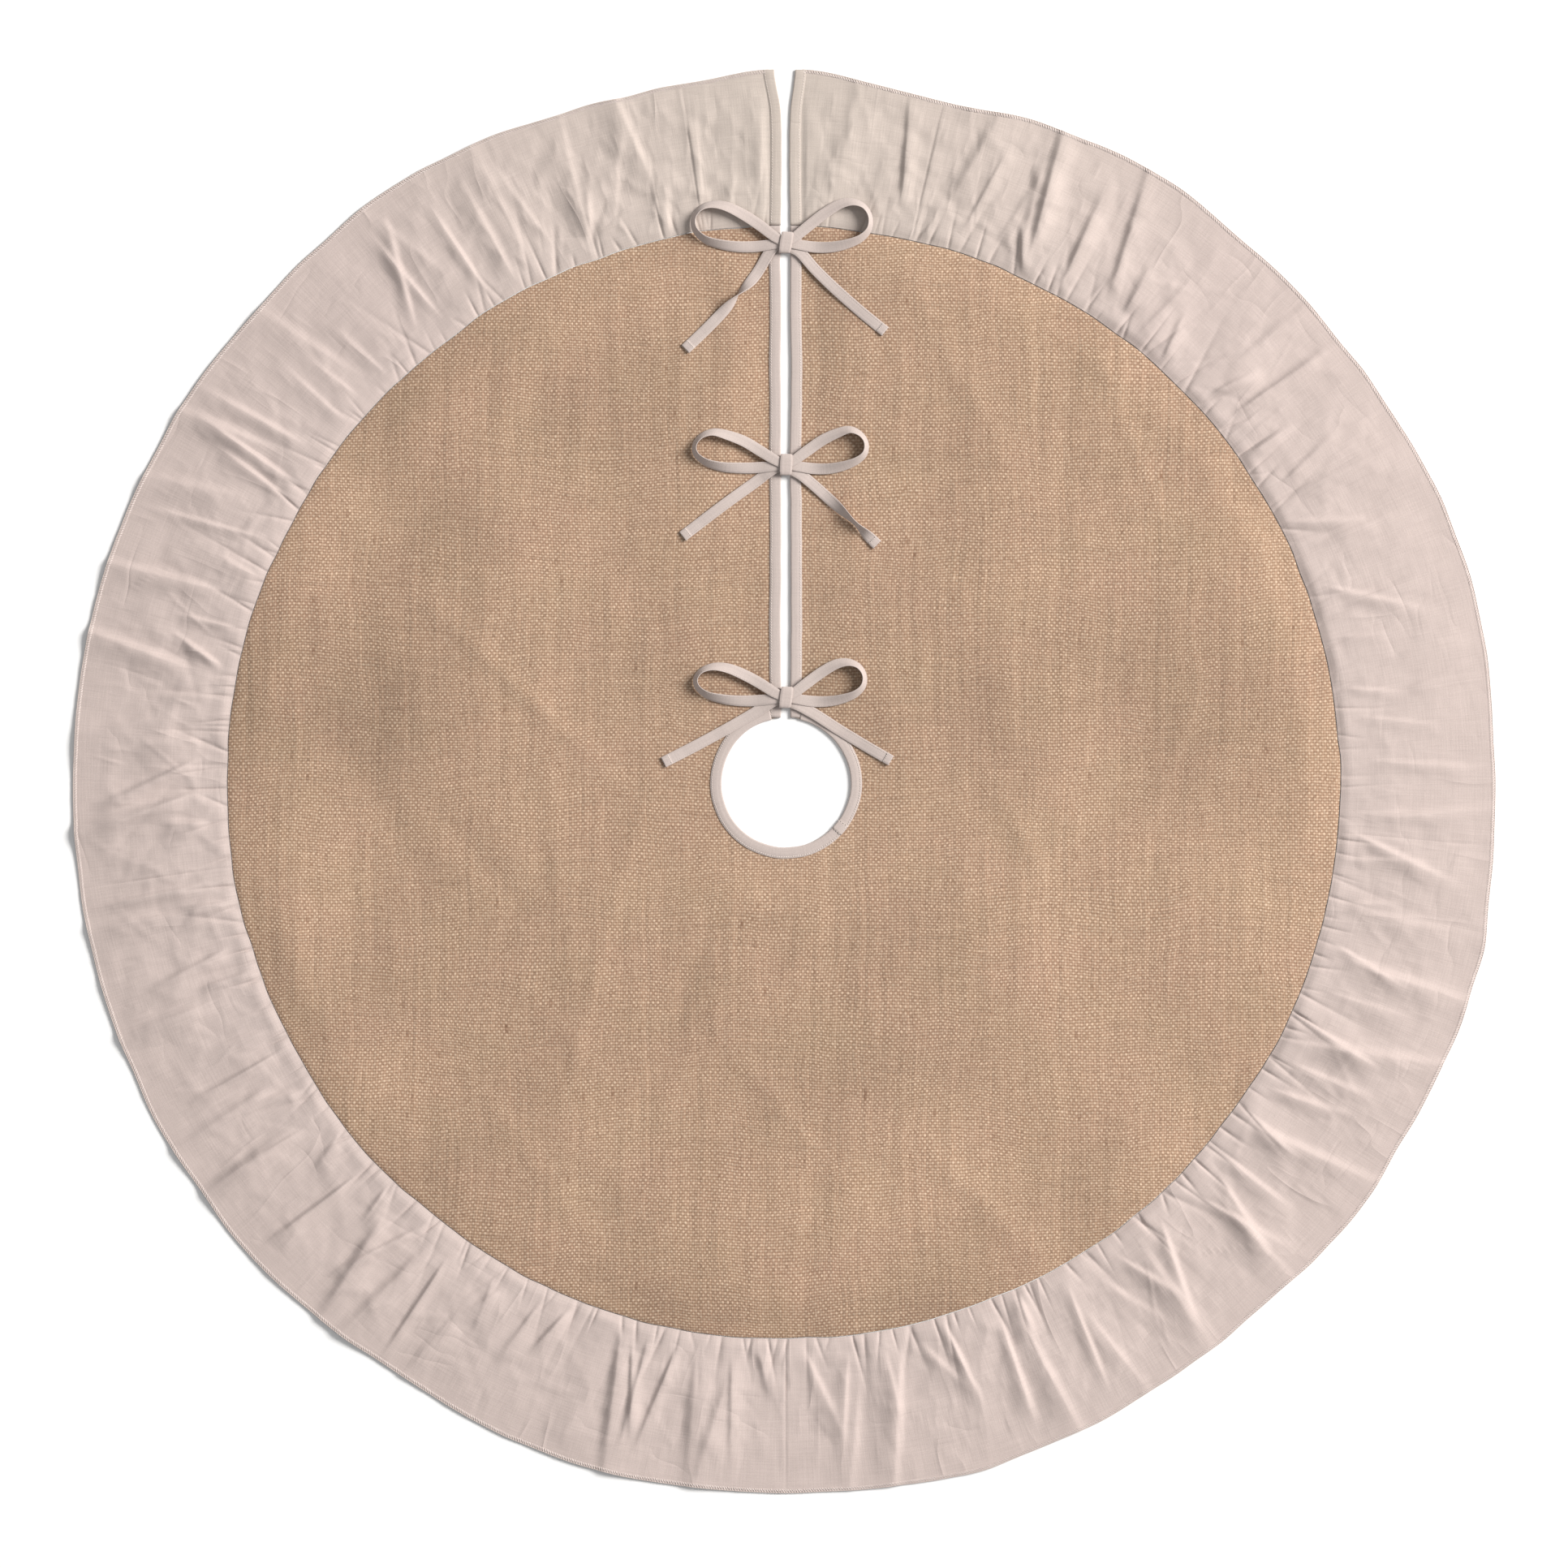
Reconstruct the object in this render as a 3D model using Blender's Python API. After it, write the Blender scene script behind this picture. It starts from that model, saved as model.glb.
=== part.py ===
"""Round Christmas tree skirt, laid flat on the floor.

A burlap disc with a bound centre hole, a gathered linen ruffle sewn round its
rim, a slit from the hole to the outer edge and three tied bows that hold the
slit closed. Metres, +Z up. The origin is on the floor under the centre of the
hole, and +Y points along the slit. The skirt folds in half about X, so each
cloth is split at that crease into a back half and a front half.
"""
import math

import bmesh
import bpy
from mathutils import Vector

MM = 0.001

# Driving sizes of the skirt
OVERALL_DIAMETER = 1.2192
RUFFLE_WIDTH = 134.6 * MM
HOLE_DIAMETER = 110.6 * MM
SLIT_GAP = 8.0 * MM

# Cloths and tapes
BURLAP_THICKNESS = 1.0 * MM
LINEN_THICKNESS = 0.8 * MM
TAPE_THICKNESS = 0.5 * MM
BINDING_WIDTH = 9.7 * MM
THREAD_WIDTH = 2.0 * MM
THREAD_THICKNESS = 1.2 * MM
SEAM_ALLOWANCE = 10.0 * MM
FIT_GAP = 0.3 * MM

# Flutes of the ruffle
FLUTE_COUNT = 40
FLUTE_HEIGHT_AT_SEAM = 0.8 * MM
FLUTE_HEIGHT_AT_HEM = 7.0 * MM
CALM_ANGLE = math.radians(11.0)
FULL_FLUTE_ANGLE = math.radians(24.0)

# Ties and their bows
TIE_WIDTH = 9.5 * MM
TIE_THICKNESS = 0.8 * MM
PINCHED_TIE_WIDTH = 5.2 * MM
PINCH_LENGTH = 12.0 * MM
KNOT_WIDTH = 12.5 * MM
KNOT_LENGTH = 18.7 * MM
KNOT_HEIGHT = 5.7 * MM
KNOT_ROUNDING = 1.4 * MM
KNOT_SWING_GAP = 1.6 * MM
TAIL_ROOT_DROP = 4.0 * MM

# How finely the round shapes are divided
BURLAP_STEPS = 96
BINDING_STEPS = 48
STEPS_PER_FLUTE = 4
RUFFLE_RINGS = 4
RIBBON_STEPS = 26

# Where the bows are tied: the outer and inner ones near the two ends of the
# slit, the middle one at a share of the way between them
OUTER_BOW_FROM_RIM = 15.0 * MM
INNER_BOW_FROM_HOLE = 17.7 * MM
MIDDLE_BOW_SHARE = 0.5116

# Name, share of the way from the inner to the outer bow, reach and rise of the
# left and right loops, and the left and right tail ends from the knot
BOWS = (
    ("outer", 1.0, (81.0 * MM, 34.0 * MM), (74.6 * MM, 36.0 * MM),
     (84.0 * MM, -92.0 * MM), (83.6 * MM, -76.7 * MM)),
    ("middle", MIDDLE_BOW_SHARE, (80.0 * MM, 29.0 * MM), (71.0 * MM, 31.0 * MM),
     (87.0 * MM, -61.5 * MM), (76.7 * MM, -69.0 * MM)),
    ("inner", 0.0, (79.0 * MM, 28.0 * MM), (69.5 * MM, 31.5 * MM),
     (104.0 * MM, -55.3 * MM), (89.3 * MM, -54.0 * MM)),
)

# Shape of a loop from the knot out over the top strand and back along the
# lower one: share of the reach, share of the rise, and how far the tie is
# turned on edge (0 flat, 1 standing)
LOOP_SHAPE = (
    (0.42, 0.72, 0.08), (0.65, 0.97, 0.55), (0.83, 1.00, 0.95),
    (0.96, 0.82, 1.00), (1.00, 0.52, 1.00), (0.93, 0.18, 0.95),
    (0.78, -0.04, 0.65), (0.56, -0.10, 0.25), (0.36, -0.07, 0.02),
)

# Worked out from the sizes above
OUTER_RADIUS = OVERALL_DIAMETER / 2
HOLE_RADIUS = HOLE_DIAMETER / 2
RIM_RADIUS = OUTER_RADIUS - RUFFLE_WIDTH
HALF_SLIT = SLIT_GAP / 2
BURLAP_BOTTOM = TAPE_THICKNESS + FIT_GAP
BURLAP_TOP = BURLAP_BOTTOM + BURLAP_THICKNESS
BINDING_TOP = BURLAP_TOP + FIT_GAP + TAPE_THICKNESS
CLOTH_EDGE = TAPE_THICKNESS + FIT_GAP
BINDING_SIDE = HALF_SLIT + BINDING_WIDTH + FIT_GAP
FLAT_LINEN_BOTTOM = BURLAP_BOTTOM + (BURLAP_THICKNESS - LINEN_THICKNESS) / 2
OUTER_BOW = RIM_RADIUS - OUTER_BOW_FROM_RIM
INNER_BOW = HOLE_RADIUS + INNER_BOW_FROM_HOLE
HEM_RADIUS = OUTER_RADIUS - THREAD_WIDTH - FIT_GAP
THREAD_OVERHANG = (THREAD_THICKNESS - LINEN_THICKNESS) / 2
ANCHOR_BOTTOM = BINDING_TOP + FIT_GAP
ANCHOR_TOP = ANCHOR_BOTTOM + TIE_THICKNESS
TIE_PITCH = TIE_THICKNESS + FIT_GAP
TAIL_LEVEL = ANCHOR_TOP + FIT_GAP + TIE_THICKNESS / 2
LOWER_STRAND_LEVEL = TAIL_LEVEL + TIE_PITCH
UPPER_STRAND_LEVEL = LOWER_STRAND_LEVEL + TIE_PITCH
LYING_TAIL_LEVEL = BINDING_TOP + FIT_GAP + TIE_THICKNESS / 2
STANDING_LEVEL = BURLAP_TOP + 2 * FIT_GAP + TIE_WIDTH / 2


def clear_scene():
    for item in list(bpy.data.objects):
        bpy.data.objects.remove(item, do_unlink=True)


def make_material(name, color, roughness):
    material = bpy.data.materials.new(name)
    material.use_nodes = True
    shader = material.node_tree.nodes["Principled BSDF"]
    shader.inputs["Base Color"].default_value = (*color, 1.0)
    shader.inputs["Roughness"].default_value = roughness
    shader.inputs["Metallic"].default_value = 0.0
    return material


def add_object(name, bm, material, smooth=True):
    """Turn a bmesh into a named object with outward faces."""
    bmesh.ops.recalc_face_normals(bm, faces=bm.faces)
    mesh = bpy.data.meshes.new(name)
    bm.to_mesh(mesh)
    bm.free()
    item = bpy.data.objects.new(name, mesh)
    bpy.context.collection.objects.link(item)
    mesh.materials.append(material)
    if smooth:
        mesh.shade_smooth()
        mesh.set_sharp_from_angle(angle=math.radians(35))
    return item


def skin_sections(bm, sections, cap_parts=None):
    """Join a row of equal closed sections into one closed body.

    cap_parts lists convex parts of the section that make up its two end caps.
    """
    rings = [[bm.verts.new(point) for point in section] for section in sections]
    count = len(rings[0])
    for near, far in zip(rings, rings[1:]):
        for i in range(count):
            j = (i + 1) % count
            bm.faces.new((near[i], near[j], far[j], far[i]))
    if cap_parts is None:
        caps = [bm.faces.new(rings[0][::-1]), bm.faces.new(rings[-1])]
        bmesh.ops.triangulate(bm, faces=caps)
        return
    for part in cap_parts:
        bm.faces.new([rings[0][k] for k in reversed(part)])
        bm.faces.new([rings[-1][k] for k in part])


# A sector says which part of a ring a piece covers: "back" is the half at -Y,
# "front_right" and "front_left" are the quarters on either side of the slit.
SECTORS = ("back", "front_left", "front_right")


def sector_angle(sector, radius, share, slit_edge):
    """Angle at a share of the way along a sector, with straight cut ends."""
    crease = math.asin(FIT_GAP / 2 / radius)
    if sector == "back":
        return math.pi + crease + share * (math.pi - 2 * crease)
    slit = math.acos(slit_edge / radius)
    angle = crease + share * (slit - crease)
    return angle if sector == "front_right" else math.pi - angle


def ring_point(sector, radius, height, share, slit_edge):
    angle = sector_angle(sector, radius, share, slit_edge)
    return Vector((radius * math.cos(angle), radius * math.sin(angle), height))


def steps_in(sector, whole):
    return whole // 2 if sector == "back" else whole // 4


def ring_piece(name, sector, section, whole_steps, slit_edge, material, cap_parts=None):
    """A flat section of (radius, height) points carried round a sector."""
    bm = bmesh.new()
    steps = steps_in(sector, whole_steps)
    sections = [
        [ring_point(sector, r, z, i / steps, slit_edge) for r, z in section]
        for i in range(steps + 1)
    ]
    skin_sections(bm, sections, cap_parts)
    return add_object(name, bm, material)


def rectangle(left, right, bottom, top):
    return [(left, bottom), (right, bottom), (right, top), (left, top)]


# The folded tape's section as its web and two legs, by the points of folded_tape
FOLDED_TAPE_PARTS = ((0, 1, 2, 3), (0, 3, 4, 7), (7, 4, 5, 6))


def folded_tape(edge, top):
    """Section of a tape folded over a cloth edge that lies at edge, open away from it."""
    far = edge + BINDING_WIDTH
    inner = edge + TAPE_THICKNESS
    return [
        (edge, 0.0), (far, 0.0), (far, TAPE_THICKNESS), (inner, TAPE_THICKNESS),
        (inner, top - TAPE_THICKNESS), (far, top - TAPE_THICKNESS), (far, top), (edge, top),
    ]


def smoothstep(low, high, value):
    share = min(max((value - low) / (high - low), 0.0), 1.0)
    return share * share * (3 - 2 * share)


def linen_bottom(radius, angle):
    """Height of the ruffle's underside: calm beside the slit, fluted elsewhere."""
    across = (radius - RIM_RADIUS) / (HEM_RADIUS - RIM_RADIUS)
    across = min(max(across, 0.0), 1.0)
    from_slit = abs(math.atan2(math.sin(angle - math.pi / 2), math.cos(angle - math.pi / 2)))
    fullness = smoothstep(CALM_ANGLE, FULL_FLUTE_ANGLE, from_slit)
    crest = FLUTE_HEIGHT_AT_SEAM + (FLUTE_HEIGHT_AT_HEM - FLUTE_HEIGHT_AT_SEAM) * across
    trough = FLAT_LINEN_BOTTOM + (THREAD_OVERHANG - FLAT_LINEN_BOTTOM) * across
    wave = 0.5 - 0.5 * math.cos(FLUTE_COUNT * angle)
    fluted = trough + crest * wave
    return FLAT_LINEN_BOTTOM + (fluted - FLAT_LINEN_BOTTOM) * fullness


def make_burlap(material):
    section = rectangle(HOLE_RADIUS + CLOTH_EDGE, RIM_RADIUS - FIT_GAP / 2,
                        BURLAP_BOTTOM, BURLAP_TOP)
    for sector in SECTORS:
        ring_piece("burlap_" + sector, sector, section, BURLAP_STEPS,
                   HALF_SLIT + CLOTH_EDGE, material)


def make_ruffle(material):
    inner = RIM_RADIUS + FIT_GAP / 2
    radii = [inner + (HEM_RADIUS - inner) * k / RUFFLE_RINGS for k in range(RUFFLE_RINGS + 1)]
    for sector in SECTORS:
        bm = bmesh.new()
        steps = steps_in(sector, FLUTE_COUNT * STEPS_PER_FLUTE)
        sections = []
        for i in range(steps + 1):
            under = []
            for r in radii:
                angle = sector_angle(sector, r, i / steps, HALF_SLIT + CLOTH_EDGE)
                place = Vector((r * math.cos(angle), r * math.sin(angle), linen_bottom(r, angle)))
                under.append(place)
            over = [p + Vector((0, 0, LINEN_THICKNESS)) for p in reversed(under)]
            sections.append(under + over)
        skin_sections(bm, sections)
        add_object("ruffle_" + sector, bm, material)


def make_edge_stitching(material):
    """The overlock thread along the ruffle's outer edge, which follows its flutes."""
    for sector in SECTORS:
        bm = bmesh.new()
        steps = steps_in(sector, FLUTE_COUNT * STEPS_PER_FLUTE)
        sections = []
        for i in range(steps + 1):
            section = []
            for r, rise in rectangle(OUTER_RADIUS - THREAD_WIDTH, OUTER_RADIUS,
                                     0.0, THREAD_THICKNESS):
                angle = sector_angle(sector, r, i / steps, BINDING_SIDE)
                height = linen_bottom(HEM_RADIUS, angle) - THREAD_OVERHANG + rise
                section.append(Vector((r * math.cos(angle), r * math.sin(angle), height)))
            sections.append(section)
        skin_sections(bm, sections)
        add_object("edge_stitching_" + sector, bm, material)


def make_seam_overlock(material):
    """The overlocked seam allowance that lies turned under the burlap's rim."""
    section = rectangle(RIM_RADIUS - SEAM_ALLOWANCE, RIM_RADIUS - FIT_GAP, 0.0, TAPE_THICKNESS)
    for sector in SECTORS:
        ring_piece("seam_overlock_" + sector, sector, section, BURLAP_STEPS,
                   BINDING_SIDE, material)


def make_hole_binding(material):
    section = folded_tape(HOLE_RADIUS, BINDING_TOP)
    for sector in SECTORS:
        ring_piece("hole_binding_" + sector, sector, section, BINDING_STEPS,
                   BINDING_SIDE, material, FOLDED_TAPE_PARTS)


def straight_binding(name, side, near, far, material):
    """A folded tape along the slit, on the left (-1) or the right (+1)."""
    bm = bmesh.new()
    section = folded_tape(HALF_SLIT, BINDING_TOP)
    sections = [[Vector((side * x, y, z)) for x, z in section] for y in (near, far)]
    skin_sections(bm, sections, FOLDED_TAPE_PARTS)
    return add_object(name, bm, material, smooth=False)


def make_slit_bindings(tape, linen):
    outer_end = math.sqrt(OUTER_RADIUS ** 2 - (HALF_SLIT + BINDING_WIDTH) ** 2)
    for label, side in (("left", -1), ("right", 1)):
        straight_binding("slit_binding_" + label, side, HOLE_RADIUS,
                         RIM_RADIUS - FIT_GAP / 2, tape)
        straight_binding("ruffle_end_band_" + label, side, RIM_RADIUS + FIT_GAP / 2,
                         outer_end, linen)


def smooth_path(points, steps):
    """Evenly divided Catmull-Rom curve through (x, y, z, turn, width) points."""
    rows = [Vector(p) for p in points]
    rows = [rows[0] * 2 - rows[1]] + rows + [rows[-1] * 2 - rows[-2]]
    spans = len(points) - 1
    curve = []
    for n in range(steps + 1):
        place = n / steps * spans
        k = min(int(place), spans - 1)
        t = place - k
        a, b, c, d = rows[k:k + 4]
        curve.append(0.5 * (2 * b + (c - a) * t + (2 * a - 5 * b + 4 * c - d) * t ** 2
                            + (3 * b - a - 3 * c + d) * t ** 3))
    return curve


def ribbon(name, points, steps, material):
    """A tie along (x, y, z, turn, width) points; turn runs from 0, flat, to 1, on edge."""
    curve = smooth_path(points, steps)
    places = [Vector(row[:3]) for row in curve]
    sections = []
    for i, row in enumerate(curve):
        ahead = places[min(i + 1, steps)] - places[max(i - 1, 0)]
        along = ahead.normalized()
        side = Vector((0, 0, 1)).cross(along).normalized()
        turn = min(max(row[3], 0.0), 1.0) * math.pi / 2
        across = side * math.cos(turn) + Vector((0, 0, 1)) * math.sin(turn)
        normal = along.cross(across).normalized()
        w = across * row[4] / 2
        t = normal * TIE_THICKNESS / 2
        sections.append([places[i] - w - t, places[i] + w - t, places[i] + w + t, places[i] - w + t])
    bm = bmesh.new()
    skin_sections(bm, sections)
    return add_object(name, bm, material)


def loop_points(side, knot_y, reach, rise):
    """Out along the upper strand and back along the lower one."""
    root = KNOT_WIDTH / 2 + KNOT_SWING_GAP
    opened = root + PINCH_LENGTH / 2
    opened_width = (TIE_WIDTH + PINCHED_TIE_WIDTH) / 2
    half_pinch = PINCHED_TIE_WIDTH / 4
    points = [
        (root, half_pinch, UPPER_STRAND_LEVEL, 0.0, PINCHED_TIE_WIDTH),
        (opened, 2 * half_pinch, UPPER_STRAND_LEVEL, 0.0, opened_width),
    ]
    for i, (out, up, turn) in enumerate(LOOP_SHAPE):
        strand = UPPER_STRAND_LEVEL if i < len(LOOP_SHAPE) / 2 else LOWER_STRAND_LEVEL
        level = max(strand, STANDING_LEVEL * turn + strand * (1 - turn))
        points.append((reach * out, rise * up, level, turn, TIE_WIDTH))
    points.append((opened, -half_pinch, LOWER_STRAND_LEVEL, 0.0, opened_width))
    points.append((root, -half_pinch, LOWER_STRAND_LEVEL, 0.0, PINCHED_TIE_WIDTH))
    return [(side * x, knot_y + y, z, turn, width) for x, y, z, turn, width in points]


def tail_points(side, knot_y, end):
    """From the knot down to the lying end, first straight out and then slanting."""
    root = KNOT_WIDTH / 2 + KNOT_SWING_GAP
    out, drop = end
    points = [(root, -TAIL_ROOT_DROP, TAIL_LEVEL, 0.0, PINCHED_TIE_WIDTH)]
    for share, sag in ((0.25, 0.16), (0.5, 0.43), (0.75, 0.72), (1.0, 1.0)):
        x = root + PINCH_LENGTH / 2 + (out - root - PINCH_LENGTH / 2) * share
        y = -TAIL_ROOT_DROP + (drop + TAIL_ROOT_DROP) * sag
        points.append((x, y, LYING_TAIL_LEVEL, 0.0, TIE_WIDTH))
    return [(side * x, knot_y + y, z, turn, width) for x, y, z, turn, width in points]


def rounded_block(name, centre, size, rounding, material):
    bm = bmesh.new()
    bmesh.ops.create_cube(bm, size=1.0)
    bmesh.ops.scale(bm, vec=size, verts=bm.verts)
    bmesh.ops.translate(bm, vec=centre, verts=bm.verts)
    bmesh.ops.bevel(bm, geom=bm.edges[:], offset=rounding, segments=2, affect="EDGES",
                    profile=0.5)
    return add_object(name, bm, material)


def hinge_at(name, item, place):
    """Puts a piece's origin on its swivel axis without moving its shape."""
    item.name = name
    item.location = place
    for vertex in item.data.vertices:
        vertex.co -= Vector(place)


def make_bow(bow, material):
    label, share, left_loop, right_loop, left_tail, right_tail = bow
    prefix = "bow_" + label + "_"
    knot_y = INNER_BOW + (OUTER_BOW - INNER_BOW) * share
    knot_middle = ANCHOR_BOTTOM + KNOT_HEIGHT / 2
    rounded_block(prefix + "knot", (0, knot_y, knot_middle),
                  (KNOT_WIDTH, KNOT_LENGTH, KNOT_HEIGHT), KNOT_ROUNDING, material)
    sides = (("left", -1, left_loop, left_tail), ("right", 1, right_loop, right_tail))
    for word, side, loop, tail in sides:
        near = KNOT_WIDTH / 2 + FIT_GAP
        far = HALF_SLIT + BINDING_WIDTH
        level = ANCHOR_BOTTOM + TIE_THICKNESS / 2
        ribbon(prefix + "anchor_" + word,
               [(side * near, knot_y, level, 0.0, TIE_WIDTH),
                (side * far, knot_y, level, 0.0, TIE_WIDTH)], 1, material)
        loop_name = prefix + "loop_" + word
        item = ribbon(loop_name, loop_points(side, knot_y, *loop), RIBBON_STEPS, material)
        hinge_at(loop_name, item, (side * KNOT_WIDTH / 2, knot_y, LOWER_STRAND_LEVEL))
        tail_name = prefix + "tail_" + word
        item = ribbon(tail_name, tail_points(side, knot_y, tail), RIBBON_STEPS // 2, material)
        hinge_at(tail_name, item, (side * KNOT_WIDTH / 2, knot_y - TAIL_ROOT_DROP, TAIL_LEVEL))


def main():
    clear_scene()
    burlap = make_material("burlap", (0.47, 0.32, 0.22), 0.95)
    linen = make_material("linen", (0.64, 0.52, 0.47), 0.85)
    tape = make_material("linen_tape", (0.60, 0.51, 0.46), 0.85)
    thread = make_material("thread", (0.80, 0.76, 0.71), 0.7)
    make_burlap(burlap)
    make_ruffle(linen)
    make_seam_overlock(thread)
    make_edge_stitching(thread)
    make_hole_binding(tape)
    make_slit_bindings(tape, linen)
    for bow in BOWS:
        make_bow(bow, tape)


main()
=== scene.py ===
"""Looks of a round burlap Christmas tree skirt with a gathered linen ruffle.

Lengths are in metres in the CAD frame: +Y runs along the slit, +Z is up.
"""
import math

import bmesh
import bpy
import numpy as np
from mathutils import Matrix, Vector


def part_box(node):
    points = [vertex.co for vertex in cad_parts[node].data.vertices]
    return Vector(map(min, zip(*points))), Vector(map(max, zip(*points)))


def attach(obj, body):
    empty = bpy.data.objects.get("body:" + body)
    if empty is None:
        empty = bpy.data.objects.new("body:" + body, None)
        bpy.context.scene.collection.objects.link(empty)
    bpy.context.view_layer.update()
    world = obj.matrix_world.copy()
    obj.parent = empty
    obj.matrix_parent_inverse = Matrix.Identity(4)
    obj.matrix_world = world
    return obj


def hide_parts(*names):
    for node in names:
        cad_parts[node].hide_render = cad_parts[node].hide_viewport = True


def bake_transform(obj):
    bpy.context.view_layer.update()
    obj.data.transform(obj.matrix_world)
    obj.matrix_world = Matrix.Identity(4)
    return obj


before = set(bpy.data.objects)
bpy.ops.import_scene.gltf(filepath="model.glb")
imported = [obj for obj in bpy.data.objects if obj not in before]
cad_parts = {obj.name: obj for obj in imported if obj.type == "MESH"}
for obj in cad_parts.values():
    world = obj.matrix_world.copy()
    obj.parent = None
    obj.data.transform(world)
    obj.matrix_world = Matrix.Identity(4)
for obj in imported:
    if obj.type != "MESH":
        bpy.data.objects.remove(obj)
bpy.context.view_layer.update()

MM = 0.001
UP = np.array((0.0, 0.0, 1.0))
LEVEL = np.array((1.0, 1.0, 0.0))
SIDES = (("left", -1), ("right", 1))
BOWS = ("outer", "middle", "inner")


def low(node):
    return np.array(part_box(node)[0])


def high(node):
    return np.array(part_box(node)[1])


# Sizes read off the frame
HALF_SLIT = low("slit_binding_right")[0]
TAPE_WIDTH = high("slit_binding_right")[0] - HALF_SLIT
BINDING_TOP = high("slit_binding_right")[2]
RIM_RADIUS = high("slit_binding_right")[1]
HOLE_RADIUS = -low("hole_binding_back")[1] - TAPE_WIDTH
OUTER_RADIUS = -low("edge_stitching_back")[1]
BURLAP_TOP = high("burlap_back")[2]
BURLAP_THICKNESS = BURLAP_TOP - low("burlap_back")[2]
SLIT_CLOTH_EDGE = low("burlap_front_right")[0]
RUFFLE_WIDTH = OUTER_RADIUS - RIM_RADIUS

# Sizes of the cloths and threads
LINEN_THICKNESS = 0.6 * MM
TAPE_THICKNESS = 0.5 * MM
TIE_THICKNESS = 0.8 * MM
TIE_WIDTH = 9.5 * MM
STITCH_PITCH = 2.3 * MM
STITCH_RADIUS = 0.27 * MM
STITCH_LIFT = 0.12 * MM
BURLAP_WARP_PITCH = 2.1 * MM
BURLAP_WEFT_PITCH = 2.42 * MM
RUFFLE_FULLNESS = 1.08
HEM_INSET = 1.3 * MM

# How finely the cloths are divided
BURLAP_COLUMNS = 640
BURLAP_RINGS = 72
RUFFLE_COLUMN_STEP = 0.66 * MM
RUFFLE_RINGS = 44
HEM_STEPS = 3400
ALLOWANCE_STEPS = 1500
HOLE_STEPS = 260
LOOP_STEPS = 110
LOOP_SMOOTHING = 6
TAIL_STEPS = 96
KNOT_STEPS = 48
NOISE_CELLS = 64


# ---------------------------------------------------------------- numbers

def smoothstep(start, end, value):
    share = np.clip((value - start) / (end - start), 0, 1)
    return share * share * (3 - 2 * share)


def noise(x, y, cell, seed):
    """Smooth noise from -1 to 1 whose lumps are about one cell wide."""
    grid = np.random.default_rng(seed).uniform(-1, 1, (NOISE_CELLS, NOISE_CELLS))
    u, v = np.asarray(x) / cell, np.asarray(y) / cell
    i, j = np.floor(u).astype(int), np.floor(v).astype(int)
    fu, fv = smoothstep(0, 1, u - i), smoothstep(0, 1, v - j)

    def corner(step_i, step_j):
        return grid[(i + step_i) % NOISE_CELLS, (j + step_j) % NOISE_CELLS]

    near = corner(0, 0) * (1 - fu) + corner(1, 0) * fu
    far = corner(0, 1) * (1 - fu) + corner(1, 1) * fu
    return near * (1 - fv) + far * fv


def crumple(x, y, cell, seed):
    """Soft hollows about one cell wide that meet in sharp creases, from 0 to about 1."""
    jitter = np.random.default_rng(seed).uniform(0, 1, (NOISE_CELLS, NOISE_CELLS, 2))
    u = x / cell + 0.35 * noise(x, y, 0.8 * cell, seed + 1)
    v = y / cell + 0.35 * noise(x, y, 0.8 * cell, seed + 2)
    i, j = np.floor(u).astype(int), np.floor(v).astype(int)
    nearest = np.full(np.shape(u), np.inf)
    for step_i in (-1, 0, 1):
        for step_j in (-1, 0, 1):
            point = jitter[(i + step_i) % NOISE_CELLS, (j + step_j) % NOISE_CELLS]
            apart_u = i + step_i + point[..., 0] - u
            apart_v = j + step_j + point[..., 1] - v
            nearest = np.minimum(nearest, apart_u ** 2 + apart_v ** 2)
    return nearest


def ring_noise(angle, lumps, seed):
    """Noise round a circle, with about that many lumps to the turn."""
    radius = lumps / (2 * math.pi)
    centre = 40
    return noise(radius * np.cos(angle) + centre, radius * np.sin(angle) + centre, 1.0, seed)


def bump(value, centre, half):
    """A smooth bump, 1 at its centre and nearly 0 at twice its half width."""
    return np.exp(-((value - centre) / half) ** 2)


def from_slit(x, y):
    """Angle clockwise from the slit, -pi to pi, positive to the right."""
    return np.arctan2(x, y)


# ---------------------------------------------------------------- shape of the skirt

def rim_radius(turn):
    """Where the ruffle is sewn to the burlap, a little uneven and faintly scalloped."""
    wobble = 3.2 * MM * ring_noise(turn, 7, 11) + 1.0 * MM * ring_noise(turn, 40, 12)
    scallop = 0.7 * MM * ring_noise(turn, 150, 13)
    calm = smoothstep(0.03, 0.12, np.abs(turn))
    return RIM_RADIUS + (wobble + scallop) * calm


def hem_radius(turn):
    """The outer edge, with soft corners where folds reach it."""
    away = np.abs(turn)
    corners = (5.0 * MM * ring_noise(turn, 22, 21) + 2.0 * MM * ring_noise(turn, 52, 22)
               + 1.1 * MM * ring_noise(turn, 110, 23))
    drawn_in = -8.0 * MM * bump(away, 0.26, 0.16)
    dip = -2.5 * MM * smoothstep(0.03, 0.12, away)
    return OUTER_RADIUS - HEM_INSET + corners * smoothstep(0.02, 0.2, away) + drawn_in + dip


# Long creases pressed into the burlap while it lay folded: how many, and their leans
PRESSED_CREASES = 26
CREASE_LEANS = (-0.55, 0.6, 0.15)
# Small tucks where the gathers pull the burlap's rim: turn, length and height in mm
RIM_TUCKS = ((1.635, 50, 1.5), (1.755, 75, 1.7), (0.78, 30, 0.9),
             (-1.9, 40, 0.9), (2.35, 35, 1.0), (-0.9, 30, 0.8))
TUCK_HALF_WIDTH = 4.2 * MM


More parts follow.
